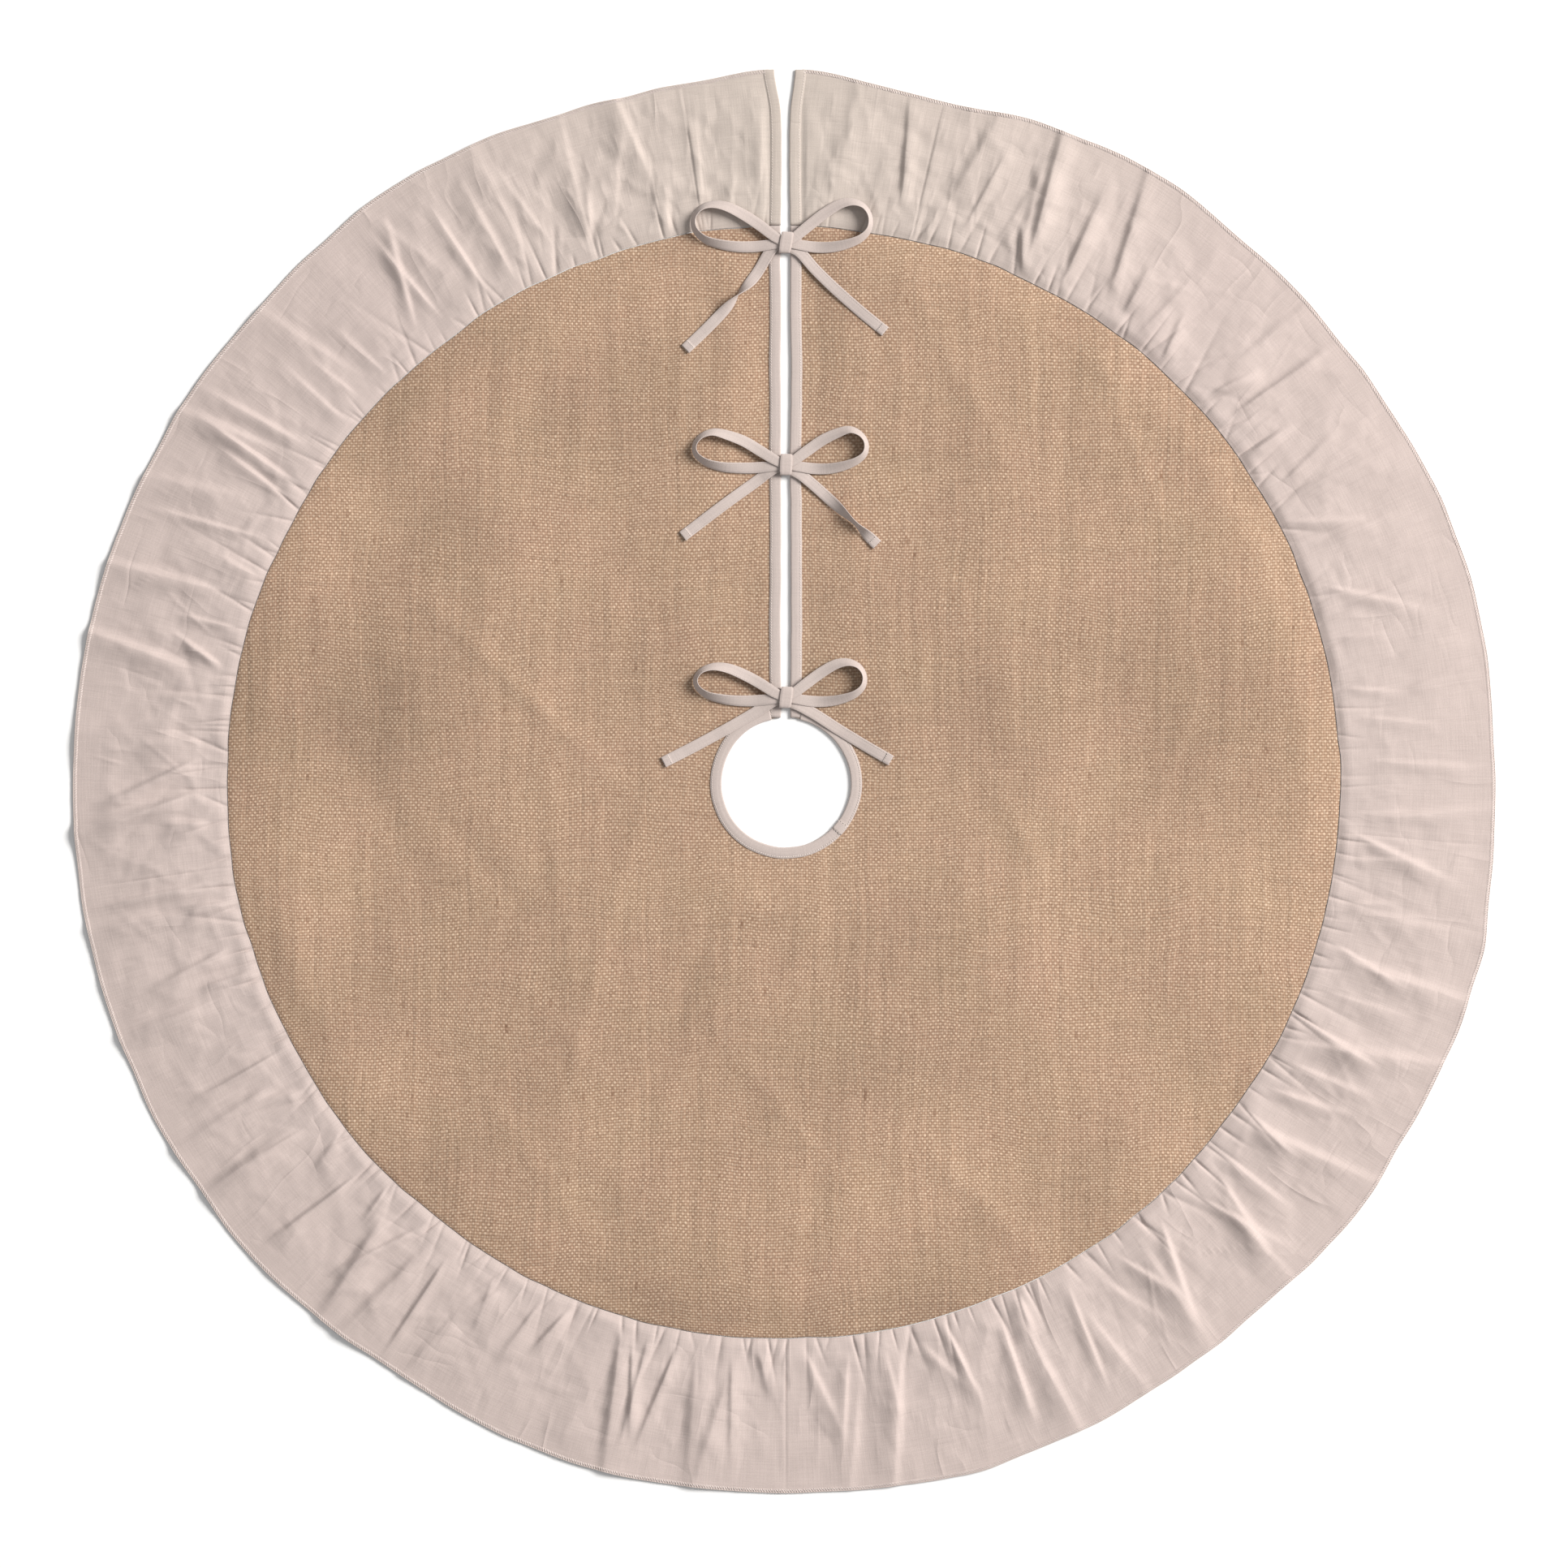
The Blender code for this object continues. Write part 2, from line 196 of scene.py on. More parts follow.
def pressed_creases(x, y):
    """Long soft creases, in millimetres, mostly running down and slantwise."""
    rng = np.random.default_rng(35)
    total = 0.0 * x
    for _ in range(PRESSED_CREASES):
        middle = rng.uniform(-0.38, 0.38, 2)
        lean = rng.choice(CREASE_LEANS) + rng.normal(0, 0.2)
        half_length, half = rng.uniform(0.04, 0.13), rng.uniform(0.005, 0.012)
        rise = rng.choice((-1, 1)) * rng.uniform(0.6, 1.6)
        along = (x - middle[0]) * math.sin(lean) + (y - middle[1]) * math.cos(lean)
        across = (x - middle[0]) * math.cos(lean) - (y - middle[1]) * math.sin(lean)
        total = total + rise * np.exp(-(along / half_length) ** 2 - (across / half) ** 2)
    return total


def burlap_height(x, y):
    """Top of the burlap: soft undulations, worked out in millimetres, that calm down at
    its bound and sewn edges.
    """
    r = np.hypot(x, y)
    turn = from_slit(x, y)
    rim = rim_radius(turn)
    swell = 1.6 + 2.3 * noise(x, y, 0.17, 31) + 1.2 * noise(x, y, 0.075, 32)
    swell = np.maximum(swell + 0.35 * noise(x, y, 0.03, 33), 0.0)
    # three long soft troughs: down the front, across the right, and slantwise under it
    trough = 1.3 * bump(x, 0.022 + 0.1 * (y + 0.4), 0.011) * smoothstep(-0.25, -0.36, y)
    shelf = 1.2 * bump(y, 0.272 - 0.06 * x, 0.012) * smoothstep(0.02, 0.09, x)
    shelf = shelf * smoothstep(0.36, 0.2, x)
    slope = 1.1 * bump(x + y, -0.19, 0.016) * smoothstep(0.09, 0.14, x)
    slope = slope * smoothstep(0.26, 0.18, x)
    swell = swell + 1.0 - trough - shelf + slope + pressed_creases(x, y)
    for tuck, reach, height in RIM_TUCKS:
        tucked = bump((turn - tuck) * r, 0.0, TUCK_HALF_WIDTH)
        swell = swell + height * tucked * smoothstep(rim - reach * MM, rim, r)
    calm = smoothstep(0, 0.045, np.abs(x) - SLIT_CLOTH_EDGE - TAPE_WIDTH)
    calm = np.where(y > 0, calm, 1.0)
    calm = calm * smoothstep(HOLE_RADIUS + TAPE_WIDTH, HOLE_RADIUS + 0.06, r)
    calm = calm * smoothstep(rim + 0.001, rim - 0.035, r)
    rolled = 0.8 * MM * smoothstep(rim - 3.5 * MM, rim, r)
    return BURLAP_TOP + swell * calm * MM - rolled


def scatter(seed, count):
    """Even steps round the rim, each moved at random within its own share."""
    rng = np.random.default_rng(seed)
    turns = -math.pi + (np.arange(count) + rng.uniform(0.05, 0.95, count)) * 2 * math.pi / count
    return rng, turns


def make_folds():
    """Folds of the ruffle as (turn, start, length, slant, root and tip half width, height).

    Start and length run outward from the rim in metres; the slant is sideways
    travel per metre outward; a negative height is a crease.
    """
    folds = []
    rng, turns = scatter(41, 176)
    for turn in turns:
        # short gathers pinched by the seam
        folds.append((turn, 0.0, rng.uniform(14, 62) * MM, rng.normal(0, 0.22),
                      rng.uniform(0.8, 1.3) * MM, rng.uniform(1.6, 4.5) * MM,
                      -rng.uniform(1.6, 4.4) * MM))
    rng, turns = scatter(42, 96)
    for turn in turns:
        # soft ridges that start between gathers and fade towards the hem
        folds.append((turn, rng.uniform(2, 20) * MM, rng.uniform(40, 130) * MM,
                      rng.normal(0, 0.25), rng.uniform(2.5, 5) * MM, rng.uniform(5, 13) * MM,
                      rng.uniform(1.2, 3.8) * MM))
    rng, turns = scatter(43, 44)
    for turn in turns:
        # broad flutes that reach the hem
        folds.append((turn, rng.uniform(0, 40) * MM, 0.25, rng.normal(0, 0.15),
                      rng.uniform(5, 9) * MM, rng.uniform(12, 26) * MM,
                      rng.uniform(1.6, 5.0) * MM))
    rng, turns = scatter(44, 70)
    for turn in turns:
        # deep valleys that run from a gather far into the strip
        folds.append((turn, 0.0, rng.uniform(60, 125) * MM, rng.normal(0, 0.22),
                      rng.uniform(1.3, 2.2) * MM, rng.uniform(4.5, 9.0) * MM,
                      -rng.uniform(1.4, 3.2) * MM))
    rng, turns = scatter(48, 150)
    for turn in turns:
        # sharp pressed creases that run slantwise through the middle of the strip
        folds.append((turn, rng.uniform(10, 90) * MM, rng.uniform(18, 70) * MM,
                      rng.normal(0, 0.9), rng.uniform(1.2, 2.2) * MM, rng.uniform(1.4, 2.8) * MM,
                      rng.choice((-1, 1)) * rng.uniform(0.20, 0.55) * MM))
    return folds


def make_cross_wrinkles():
    """Wrinkles that run along the strip: (turn, distance out, half length, half width, height)."""
    rng, turns = scatter(45, 230)
    return [(turn, rng.uniform(18, 122) * MM, rng.uniform(8, 34) * MM,
             rng.uniform(1.4, 3.4) * MM, rng.uniform(-0.6, 0.8) * MM, rng.normal(0, 0.35))
            for turn in turns]


FOLDS = make_folds()
CROSS_WRINKLES = make_cross_wrinkles()
# The ruffle is joined from strips: turns at which two of them meet
STRIP_JOINS = (-math.pi, -1.72, -0.148, 0.228, 1.66, math.pi)
JOIN_DEPTH = 0.45 * MM
# Long pressed pleats beside the slit: turn, start, length, height
PLEATS = ((-0.148, 18 * MM, 80 * MM, 1.1 * MM), (0.228, 20 * MM, 100 * MM, 0.9 * MM))


def linen_height(x, y):
    """Top of the ruffle above the floor."""
    shape = np.shape(x)
    x, y = np.ravel(x), np.ravel(y)
    turn = from_slit(x, y)
    out = np.hypot(x, y) - rim_radius(turn)
    order = np.argsort(turn)
    turn_sorted, out_sorted = turn[order], out[order]
    height = np.zeros(len(x))
    width = RUFFLE_WIDTH

    def near(at, reach):
        """Rows within reach, in radians, of a turn, which may lie across the back."""
        for shift in (0, 2 * math.pi, -2 * math.pi):
            first, last = np.searchsorted(turn_sorted, (at + shift - reach, at + shift + reach))
            if last > first:
                yield slice(first, last), at + shift

    for at, start, length, slant, root, tip, rise in FOLDS:
        reach = (4 * tip + abs(slant) * min(length, width)) / RIM_RADIUS
        for rows, centre in near(at, reach):
            d = out_sorted[rows] - start
            share = np.clip(d / length, 0, 1)
            across = (turn_sorted[rows] - centre) * (RIM_RADIUS + out_sorted[rows]) - slant * d
            half = root + (tip - root) * share
            if rise < 0 and start == 0.0:
                fade = (1 - share) ** 1.5
            else:
                fade = smoothstep(0, 0.3, share) * smoothstep(1.0, 0.55, share)
            if length > width:
                fade = smoothstep(0, 0.35, d / width)
            if rise < 0:
                # a crease has a sharp bottom; a ridge has a round top
                profile = np.exp(-np.sqrt((across / half) ** 2 + 0.06) * 1.3)
            else:
                # and falls more steeply towards the slit
                lee = across < 0 if centre > 0 else across > 0
                profile = bump(across, 0.0, half * np.where(lee, 0.5, 1.35))
            height[rows] += rise * fade * profile
    for at, middle, half_length, half, rise, lean in CROSS_WRINKLES:
        for rows, centre in near(at, 2.2 * half_length / RIM_RADIUS):
            along = (turn_sorted[rows] - centre) * (RIM_RADIUS + out_sorted[rows])
            d = out_sorted[rows] - middle - lean * along
            height[rows] += rise * bump(along, 0.0, half_length) * bump(d, 0.0, half)
    height *= 0.35 + 0.65 * smoothstep(0.08, 0.26, np.abs(turn_sorted))
    for at, start, length, rise in PLEATS:
        across = (turn_sorted - at) * RIM_RADIUS
        d = (out_sorted - start) / length
        step = smoothstep(-1.0 * MM, 0.6 * MM, across) * smoothstep(11 * MM, 1 * MM, across)
        height += rise * step * smoothstep(0, 0.15, d) * smoothstep(1, 0.8, d)
    for at in STRIP_JOINS:
        across = (turn_sorted - at) * RIM_RADIUS
        height -= JOIN_DEPTH * bump(across, 0.0, 1.1 * MM) * smoothstep(0, 8 * MM, out_sorted)
    folded = np.empty_like(height)
    folded[order] = height
    swell = 1.0 * MM * noise(x, y, 0.09, 46) + 0.5 * MM * noise(x, y, 0.035, 47)
    crushed = 1.0 + 1.3 * smoothstep(0.75, 0.25, np.abs(turn))
    swell = swell + 2.2 * MM * (crumple(x, y, 0.058, 51) - 0.25)
    swell = swell - 1.3 * MM * crushed * (crumple(x, y, 0.031, 54) - 0.25)
    swell = swell + 0.75 * MM * crushed * (crumple(x, y, 0.014, 57) - 0.25)
    # smoother where the cloth was pulled straight, at the right and the upper left
    pulled = 1.0 - 0.45 * bump(turn, 1.45, 0.38) - 0.30 * bump(turn, -0.70, 0.30)
    pulled = pulled + 0.35 * bump(turn, -1.65, 0.50)
    swell, folded = swell * pulled, folded * pulled
    puff = (2.0 + 1.1 * ring_noise(turn, 120, 58)) * MM
    puff = puff * smoothstep(-1 * MM, 9 * MM, out) * smoothstep(0.17, 0.01, out)
    puff = puff * (0.5 + 0.5 * smoothstep(0.06, 0.3, np.abs(turn)))
    seam = BURLAP_TOP - 0.7 * MM * smoothstep(4 * MM, 0, out)
    swell = swell * smoothstep(0, 0.02, out) * smoothstep(0.02, 0.08, np.abs(turn))
    # the hem lies lower than the middle of the strip
    settled = 1.0 - 0.45 * smoothstep(width - 45 * MM, width - 5 * MM, out)
    surface = seam + (folded + puff + swell) * settled
    surface = surface - 0.5 * MM * smoothstep(width - 45 * MM, width, out)
    # nothing sinks below the floor: low places flatten out softly
    least = LINEN_THICKNESS + 0.25 * MM
    soft = 0.9 * MM
    surface = least + soft * np.logaddexp(0, (surface - least) / soft)
    # the two ends lie flat inside their bands
    banded = smoothstep(TAPE_WIDTH + 5 * MM, TAPE_WIDTH, np.abs(x) - HALF_SLIT) * (y > 0)
    return (surface + (BURLAP_TOP - surface) * banded).reshape(shape)


def skirt_height(x, y):
    """Top of whatever lies at a place: burlap, ruffle or a binding."""
    x, y = np.asarray(x, float), np.asarray(y, float)
    r = np.hypot(x, y)
    cloth = np.where(r < rim_radius(from_slit(x, y)), burlap_height(x, y), linen_height(x, y))
    on_tape = (np.abs(x) < HALF_SLIT + TAPE_WIDTH) & (y > 0)
    on_tape |= r < HOLE_RADIUS + TAPE_WIDTH
    return np.where(on_tape, np.maximum(cloth, BINDING_TOP), cloth)


def end_flare(y, side):
    """How far the ruffle's ends draw back from the slit: they part towards the hem."""
    out = np.clip((y - RIM_RADIUS) / RUFFLE_WIDTH, 0, 1)
    parted = 5.6 if side < 0 else 4.0
    bulge = -0.9 * np.sin(math.pi * np.clip(out / 0.85, 0, 1))
    return (bulge + parted * smoothstep(0.62, 1.0, out) ** 1.6) * MM


# ---------------------------------------------------------------- mesh helpers

def add_mesh(name, points, faces, material, uv=None):
    """An object at the origin from world points, with one UV pair for each point."""
    if isinstance(faces, np.ndarray):
        faces = faces.tolist()
    mesh = bpy.data.meshes.new(name)
    mesh.from_pydata(np.asarray(points, float).tolist(), [], faces)
    mesh.update()
    item = bpy.data.objects.new(name, mesh)
    bpy.context.scene.collection.objects.link(item)
    mesh.materials.append(material)
    if uv is not None:
        corner = np.empty(len(mesh.loops), int)
        mesh.loops.foreach_get("vertex_index", corner)
        layer = mesh.uv_layers.new(name="cloth")
        layer.data.foreach_set("uv", np.asarray(uv, float)[corner].ravel())
    mesh.polygons.foreach_set("use_smooth", np.ones(len(mesh.polygons), bool))
    return item


def face_outward(item):
    bm = bmesh.new()
    bm.from_mesh(item.data)
    bmesh.ops.recalc_face_normals(bm, faces=bm.faces)
    bm.to_mesh(item.data)
    bm.free()
    return item


def grid_faces(index):
    """Quads between the neighbours in a grid of point numbers."""
    return np.stack([index[:-1, :-1], index[:-1, 1:], index[1:, 1:], index[1:, :-1]],
                    axis=-1).reshape(-1, 4)


def cloth_sheet(name, top, thickness, uv, material):
    """A closed sheet from a grid of its top points, with its underside a thickness below."""
    rows, columns = top.shape[:2]
    count = rows * columns
    under = top - np.array((0, 0, thickness))
    points = np.concatenate([top.reshape(-1, 3), under.reshape(-1, 3)])
    index = np.arange(count).reshape(rows, columns)
    upper = grid_faces(index)
    lower = grid_faces(index + count)[:, ::-1]
    edge = np.concatenate([index[0, :-1], index[:-1, -1], index[-1, :0:-1], index[:0:-1, 0]])
    following = np.roll(edge, -1)
    sides = np.stack([following, edge, edge + count, following + count], axis=1)
    uv = np.concatenate([uv.reshape(-1, 2)] * 2)
    item = add_mesh(name, points, np.concatenate([upper, lower, sides]), material, uv)
    face_outward(item)
    # the cut edge is crisp, so that two strips that meet shade alike
    rim = np.zeros(2 * count, bool)
    rim[edge] = rim[edge + count] = True
    ends = np.empty(2 * len(item.data.edges), int)
    item.data.edges.foreach_get("vertices", ends)
    ends = ends.reshape(-1, 2)
    same_face = (ends[:, 0] < count) == (ends[:, 1] < count)
    sharp = item.data.attributes.new("sharp_edge", "BOOLEAN", "EDGE")
    sharp.data.foreach_set("value", rim[ends].all(axis=1) & same_face)
    return item


def swept(name, centres, across, rise, section, material, closed=False):
    """A closed body whose section of (across, rise) points is carried along a path.

    centres, across and rise have one row for each step; the section may be one list
    for the whole path or one for each step. UV runs across and along, in metres. A
    closed path's last section joins its first.
    """
    centres, across, rise = (np.asarray(a, float) for a in (centres, across, rise))
    section = np.asarray(section, float)
    if section.ndim == 2:
        section = np.repeat(section[None], len(centres), axis=0)
    points = (centres[:, None] + section[..., :1] * across[:, None]
              + section[..., 1:2] * rise[:, None])
    rows, columns = points.shape[:2]
    along = lengths_along(centres)
    uv = np.stack([section[..., 0], np.repeat(along[:, None], columns, axis=1)], axis=-1)
    index = np.arange(rows * columns).reshape(rows, columns)
    index = np.concatenate([index, index[:, :1]], axis=1)
    if closed:
        index = np.concatenate([index, index[:1]], axis=0)
    faces = grid_faces(index).tolist()
    if not closed:
        faces += [index[0, :-1][::-1].tolist(), index[-1, :-1].tolist()]
    item = add_mesh(name, points.reshape(-1, 3), faces, material, uv.reshape(-1, 2))
    return face_outward(item)


def unit(rows):
    return rows / np.maximum(np.linalg.norm(rows, axis=-1, keepdims=True), 1e-12)


def tangents(path):
    return unit(np.gradient(path, axis=0))


def lengths_along(path):
    """Length of the path up to each of its points."""
    return np.concatenate([[0], np.cumsum(np.linalg.norm(np.diff(path, axis=0), axis=1))])


def at_lengths(rows, along, places):
    """Rows of three numbers, known at the lengths in along, at other lengths."""
    return np.stack([np.interp(places, along, rows[:, k]) for k in range(3)], axis=1)


def resample(path, pitch, margin=0.0):
    """Evenly spaced points along a path, with its direction at each."""
    path = np.asarray(path, float)
    along = lengths_along(path)
    count = max(int((along[-1] - 2 * margin) / pitch), 2)
    places = margin + (np.arange(count) + 0.5) * (along[-1] - 2 * margin) / count
    look = 0.3 * MM
    ahead, behind = at_lengths(path, along, places + look), at_lengths(path, along, places - look)
    return at_lengths(path, along, places), unit(ahead - behind)


def stitch_shape():
    """One stitch of thread, one unit long, whose two ends dip into the cloth."""
    rings = ((-0.5, 0.35, -0.9), (-0.32, 0.9, -0.25), (0.0, 1.0, 0.0), (0.32, 0.9, -0.25),
             (0.5, 0.35, -0.9))
    sides = 4
    points = []
    for along, girth, sink in rings:
        for k in range(sides):
            turn = math.pi / sides + k * 2 * math.pi / sides
            points.append((along, girth * math.cos(turn), girth * math.sin(turn) + sink))
    last = (len(rings) - 1) * sides
    faces = []
    for first in range(0, last, sides):
        for k in range(sides):
            a, b = first + k, first + (k + 1) % sides
            faces.append((a, b, b + sides, a + sides))
    faces += [tuple(range(sides))[::-1], tuple(range(last, last + sides))]
    return np.array(points), faces


STITCH_POINTS, STITCH_FACES = stitch_shape()


def stitches(name, places, along, up, length, radius, slant, material, seed=5):
    """A row of stitches in one mesh, each laid along its own direction turned by slant.

    All of them vary a little in length and direction, as sewn by a machine on soft cloth.
    """
    rng = np.random.default_rng(seed)
    places, along, up = (np.asarray(a, float) for a in (places, along, up))
    up = np.broadcast_to(up, along.shape)
    side = unit(np.cross(up, along))
    turn = slant + rng.normal(0, 0.07, len(places))
    sizes = length * rng.uniform(0.86, 1.1, len(places))
    lie = along * np.cos(turn)[:, None] + side * np.sin(turn)[:, None]
    cross = np.cross(up, lie)
    shape = STITCH_POINTS
    points = (places[:, None] + shape[None, :, :1] * lie[:, None] * sizes[:, None, None]
              + shape[None, :, 1:2] * cross[:, None] * radius
              + shape[None, :, 2:] * up[:, None] * radius)
    faces = [tuple(v + n * len(shape) for v in face)
             for n in range(len(places)) for face in STITCH_FACES]
    item = add_mesh(name, points.reshape(-1, 3), faces, material)
    return face_outward(item)


# ---------------------------------------------------------------- materials

# Which output of a texture coordinate node is the UV map, and which the object's space
PLACE_ON_CLOTH = 2
PLACE_IN_SPACE = 3


class Value:
    """A shader socket that can be used in sums as a number is."""

    def __init__(self, finish, socket):
        self.finish = finish
        self.socket = socket

    def math(self, operation, *others):
        return self.finish.node("ShaderNodeMath", {"operation": operation}, self, *others)

    def __add__(self, other):
        return self.math("ADD", other)

    __radd__ = __add__

    def __mul__(self, other):
        return self.math("MULTIPLY", other)

    __rmul__ = __mul__

    def __sub__(self, other):
        return self.math("SUBTRACT", other)

    def __rsub__(self, other):
        return self.finish.node("ShaderNodeMath", {"operation": "SUBTRACT"}, other, self)

    def floor(self):
        return self.math("FLOOR")

    def fraction(self):
        return self.math("FRACT")

    def cosine(self):
        return self.math("COSINE")

    def size(self):
        return self.math("ABSOLUTE")

    def clamped(self):
        return self.finish.node("ShaderNodeClamp", {}, self, 0.0, 1.0)


class Finish:
    """A node material for one cloth or thread."""

    def __init__(self, name, roughness, sheen=0.0):
        self.material = bpy.data.materials.new(name)
        self.material.use_nodes = True
        self.tree = self.material.node_tree
        self.shader = self.tree.nodes["Principled BSDF"]
        self.shader.inputs["Roughness"].default_value = roughness
        self.shader.inputs["Specular IOR Level"].default_value = 0.25
        self.shader.inputs["Sheen Weight"].default_value = sheen
        self.shader.inputs["Sheen Roughness"].default_value = 0.6

    def node(self, kind, settings, *inputs, output=0, **named):
        made = self.tree.nodes.new(kind)
        for key, value in settings.items():
            setattr(made, key, value)
        pairs = list(enumerate(inputs)) + [(k.replace("_", " "), v) for k, v in named.items()]
        for key, value in pairs:
            if isinstance(value, Value):
                self.tree.links.new(value.socket, made.inputs[key])
            else:
                made.inputs[key].default_value = value
        return Value(self, made.outputs[output])

    def cloth_place(self):
        """Across and along the cloth, in metres."""
        uv = self.node("ShaderNodeTexCoord", {}, output=PLACE_ON_CLOTH)
        return (self.node("ShaderNodeSeparateXYZ", {}, uv),
                self.node("ShaderNodeSeparateXYZ", {}, uv, output=1))

    def lumps(self, x, y, z=0.0, detail=2.0):
        """Noise from 0 to 1 at a place made of three numbers."""
        place = self.node("ShaderNodeCombineXYZ", {}, x, y, z)
        return self.node("ShaderNodeTexNoise", {}, Vector=place, Scale=1.0, Detail=detail)

    def mix(self, share, first, second):
        """Two colours, each a socket or three numbers, mixed by a share from 0 to 1."""
        first = first if isinstance(first, Value) else (*first, 1.0)
        second = second if isinstance(second, Value) else (*second, 1.0)
        made = self.tree.nodes.new("ShaderNodeMix")
        made.data_type = "RGBA"
        for key, value in ((0, share), (6, first), (7, second)):
            if isinstance(value, Value):
                self.tree.links.new(value.socket, made.inputs[key])
            else:
                made.inputs[key].default_value = value
        return Value(self, made.outputs[2])

    def shade(self, colour, brightness):
        """A colour times a number."""
        grey = self.node("ShaderNodeCombineXYZ", {}, brightness, brightness, brightness)
        return self.node("ShaderNodeVectorMath", {"operation": "MULTIPLY"}, colour, grey)

    def finish_with(self, colour, height, distance, strength=1.0):
        """The material, with its colour and the relief of its threads."""
        relief = self.node("ShaderNodeBump", {}, Strength=strength, Distance=distance,
                           Height=height)
        self.tree.links.new(colour.socket, self.shader.inputs["Base Color"])
        self.tree.links.new(relief.socket, self.shader.inputs["Normal"])
        return self.material


def plain_weave(across, along, warp_roundness, weft_roundness, crossing):
    """Height of a plain weave, from about 0 to 1, at thread counts across and along.

    The roundnesses say how deep the gaps between warps and between wefts are, and
    crossing how far a weft that passes over a warp stands out. The thread numbers
    and where the weft is on top, from 0 to 1, come with it.
    """
    warp, weft = across.floor(), along.floor()
    fu, fv = across.fraction() - 0.5, along.fraction() - 0.5
    over = 1.0 - (warp + weft).math("MODULO", 2.0).size() * 2.0
    bulge = over * (fu * math.pi).cosine() * (fv * math.pi).cosine()
    height = ((fu * 2 * math.pi).cosine() * warp_roundness
              + (fv * 2 * math.pi).cosine() * weft_roundness + bulge * crossing + 0.46)
    return height, warp, weft, over * 0.5 + 0.5


# Jute as colours in linear light: two close tints, painted shade for the gaps between
# threads, a painted highlight for the thread tops that catch the light, and dark flecks of bark
JUTE_TINTS = ((0.415, 0.251, 0.174), (0.402, 0.268, 0.170))
JUTE_GAP_SHADE = (0.130, 0.062, 0.033)
JUTE_TOP_HIGHLIGHT = (0.760, 0.590, 0.435)
JUTE_BARK = (0.200, 0.095, 0.052)
# Linen, its creamier tone beside the slit, and the tape cut from another roll
LINEN_COLOUR = (0.535, 0.443, 0.411)
LINEN_CREAM = (0.514, 0.445, 0.395)
TAPE_COLOUR = (0.520, 0.440, 0.407)
# Threads, each between a dull and a bright tone
SEWING_TONES = ((0.66, 0.58, 0.53), (0.88, 0.81, 0.76))
OVERLOCK_TONES = ((0.58, 0.49, 0.46), (0.84, 0.75, 0.71))
TIE_THREAD_TONES = ((0.46, 0.39, 0.36), (0.58, 0.50, 0.46))


def burlap_finish():
    """Coarse jute: round slubby threads, with painted shade in the gaps between them and painted
    highlights on their tops.

    Threads drift over a hand's width, bend over a few centimetres and wander over a
    few millimetres; single threads and crossings are thicker or paler than others.
    """
    f = Finish("burlap_jute", 0.92, sheen=0.10)
    u, v = f.cloth_place()
    drift_u = f.lumps(u * 8.0, v * 8.0, 1.7) - 0.5
    drift_v = f.lumps(u * 8.0, v * 8.0, 8.3) - 0.5
    bend_u = f.lumps(u * 26.0, v * 26.0, 11.7, detail=1.0) - 0.5
    bend_v = f.lumps(u * 26.0, v * 26.0, 18.3, detail=1.0) - 0.5
    wander_u = f.lumps(u * 160.0, v * 70.0, 3.1, detail=1.0) - 0.5
    wander_v = f.lumps(u * 70.0, v * 160.0, 5.9, detail=1.0) - 0.5
    across = u * (1 / BURLAP_WARP_PITCH) + drift_u * 8.0 + bend_u * 0.9 + wander_u * 0.4
    along = v * (1 / BURLAP_WEFT_PITCH) + drift_v * 8.0 + bend_v * 0.9 + wander_v * 0.4
    height, warp, weft, weft_on_top = plain_weave(across, along, 0.065, 0.125, 0.15)
    slub_warp = f.lumps(warp * 3.7, v * 26.0, 2.0, detail=1.0)
    slub_weft = f.lumps(u * 26.0, weft * 3.7, 6.0, detail=1.0)
    slub = slub_weft * weft_on_top + slub_warp * (1.0 - weft_on_top)
    crossing = f.lumps(warp * 5.3, weft * 5.3, 31.0, detail=0.0) - 0.5
    streak = f.lumps(warp * 0.55, v * 4.5, 9.0, detail=2.0) - 0.5
    patch = f.lumps(u * 11.0, v * 7.0, 4.0, detail=5.0) - 0.5
    warmth = f.lumps(u * 16.0, v * 16.0, 14.0, detail=2.0)
    fibre = f.lumps(u * 2300.0, v * 2300.0, 7.0, detail=1.0)
    nub = f.lumps(u * 560.0, v * 500.0, 27.0, detail=0.0) - 0.5
    lifted = height + crossing * 0.25 + nub * 0.35 + 0.10
    # painted shade: the low places between threads are coloured darker, as shade falls there
    gap_shade = (lifted * 2.0).clamped()
    # painted highlight: the high tops of the threads are coloured paler, as light falls on them
    top = (lifted * 2.0 - 1.0).clamped()
    bark = (f.lumps(warp * 1.7, v * 55.0, 21.0, detail=2.0) * 8.0 - 5.3).clamped()
    ground = f.mix(gap_shade, JUTE_GAP_SHADE, f.mix(warmth, *JUTE_TINTS))
    threads = f.mix(top, ground, JUTE_TOP_HIGHLIGHT)
    threads = f.mix(bark * 0.55, threads, JUTE_BARK)
    shade = f.lumps(u * 7.0, v * 5.0, 24.0, detail=1.0) - 0.5
    brightness = (0.53 + slub * 0.42 + streak * 0.36 + patch * 0.30 + shade * 0.34
                  + fibre * 0.20)
    bumpy = height * 1.6 + slub * 0.5 + fibre * 0.2
    return f.finish_with(f.shade(threads, brightness), bumpy, 0.34 * MM, 0.8)


def wrinkles(f, x, y, seed):
    """Height of narrow wrinkles that wander and die out, from 0 to 1."""
    wander = f.lumps(x, y, seed, detail=1.5) - 0.5
    ridge = (1.0 - wander.size() * 13.0).clamped()
    shown = (f.lumps(x * 0.9, y * 0.9, seed + 4.0, detail=1.0) * 6.0 - 2.9).clamped()
    return ridge * ridge * shown


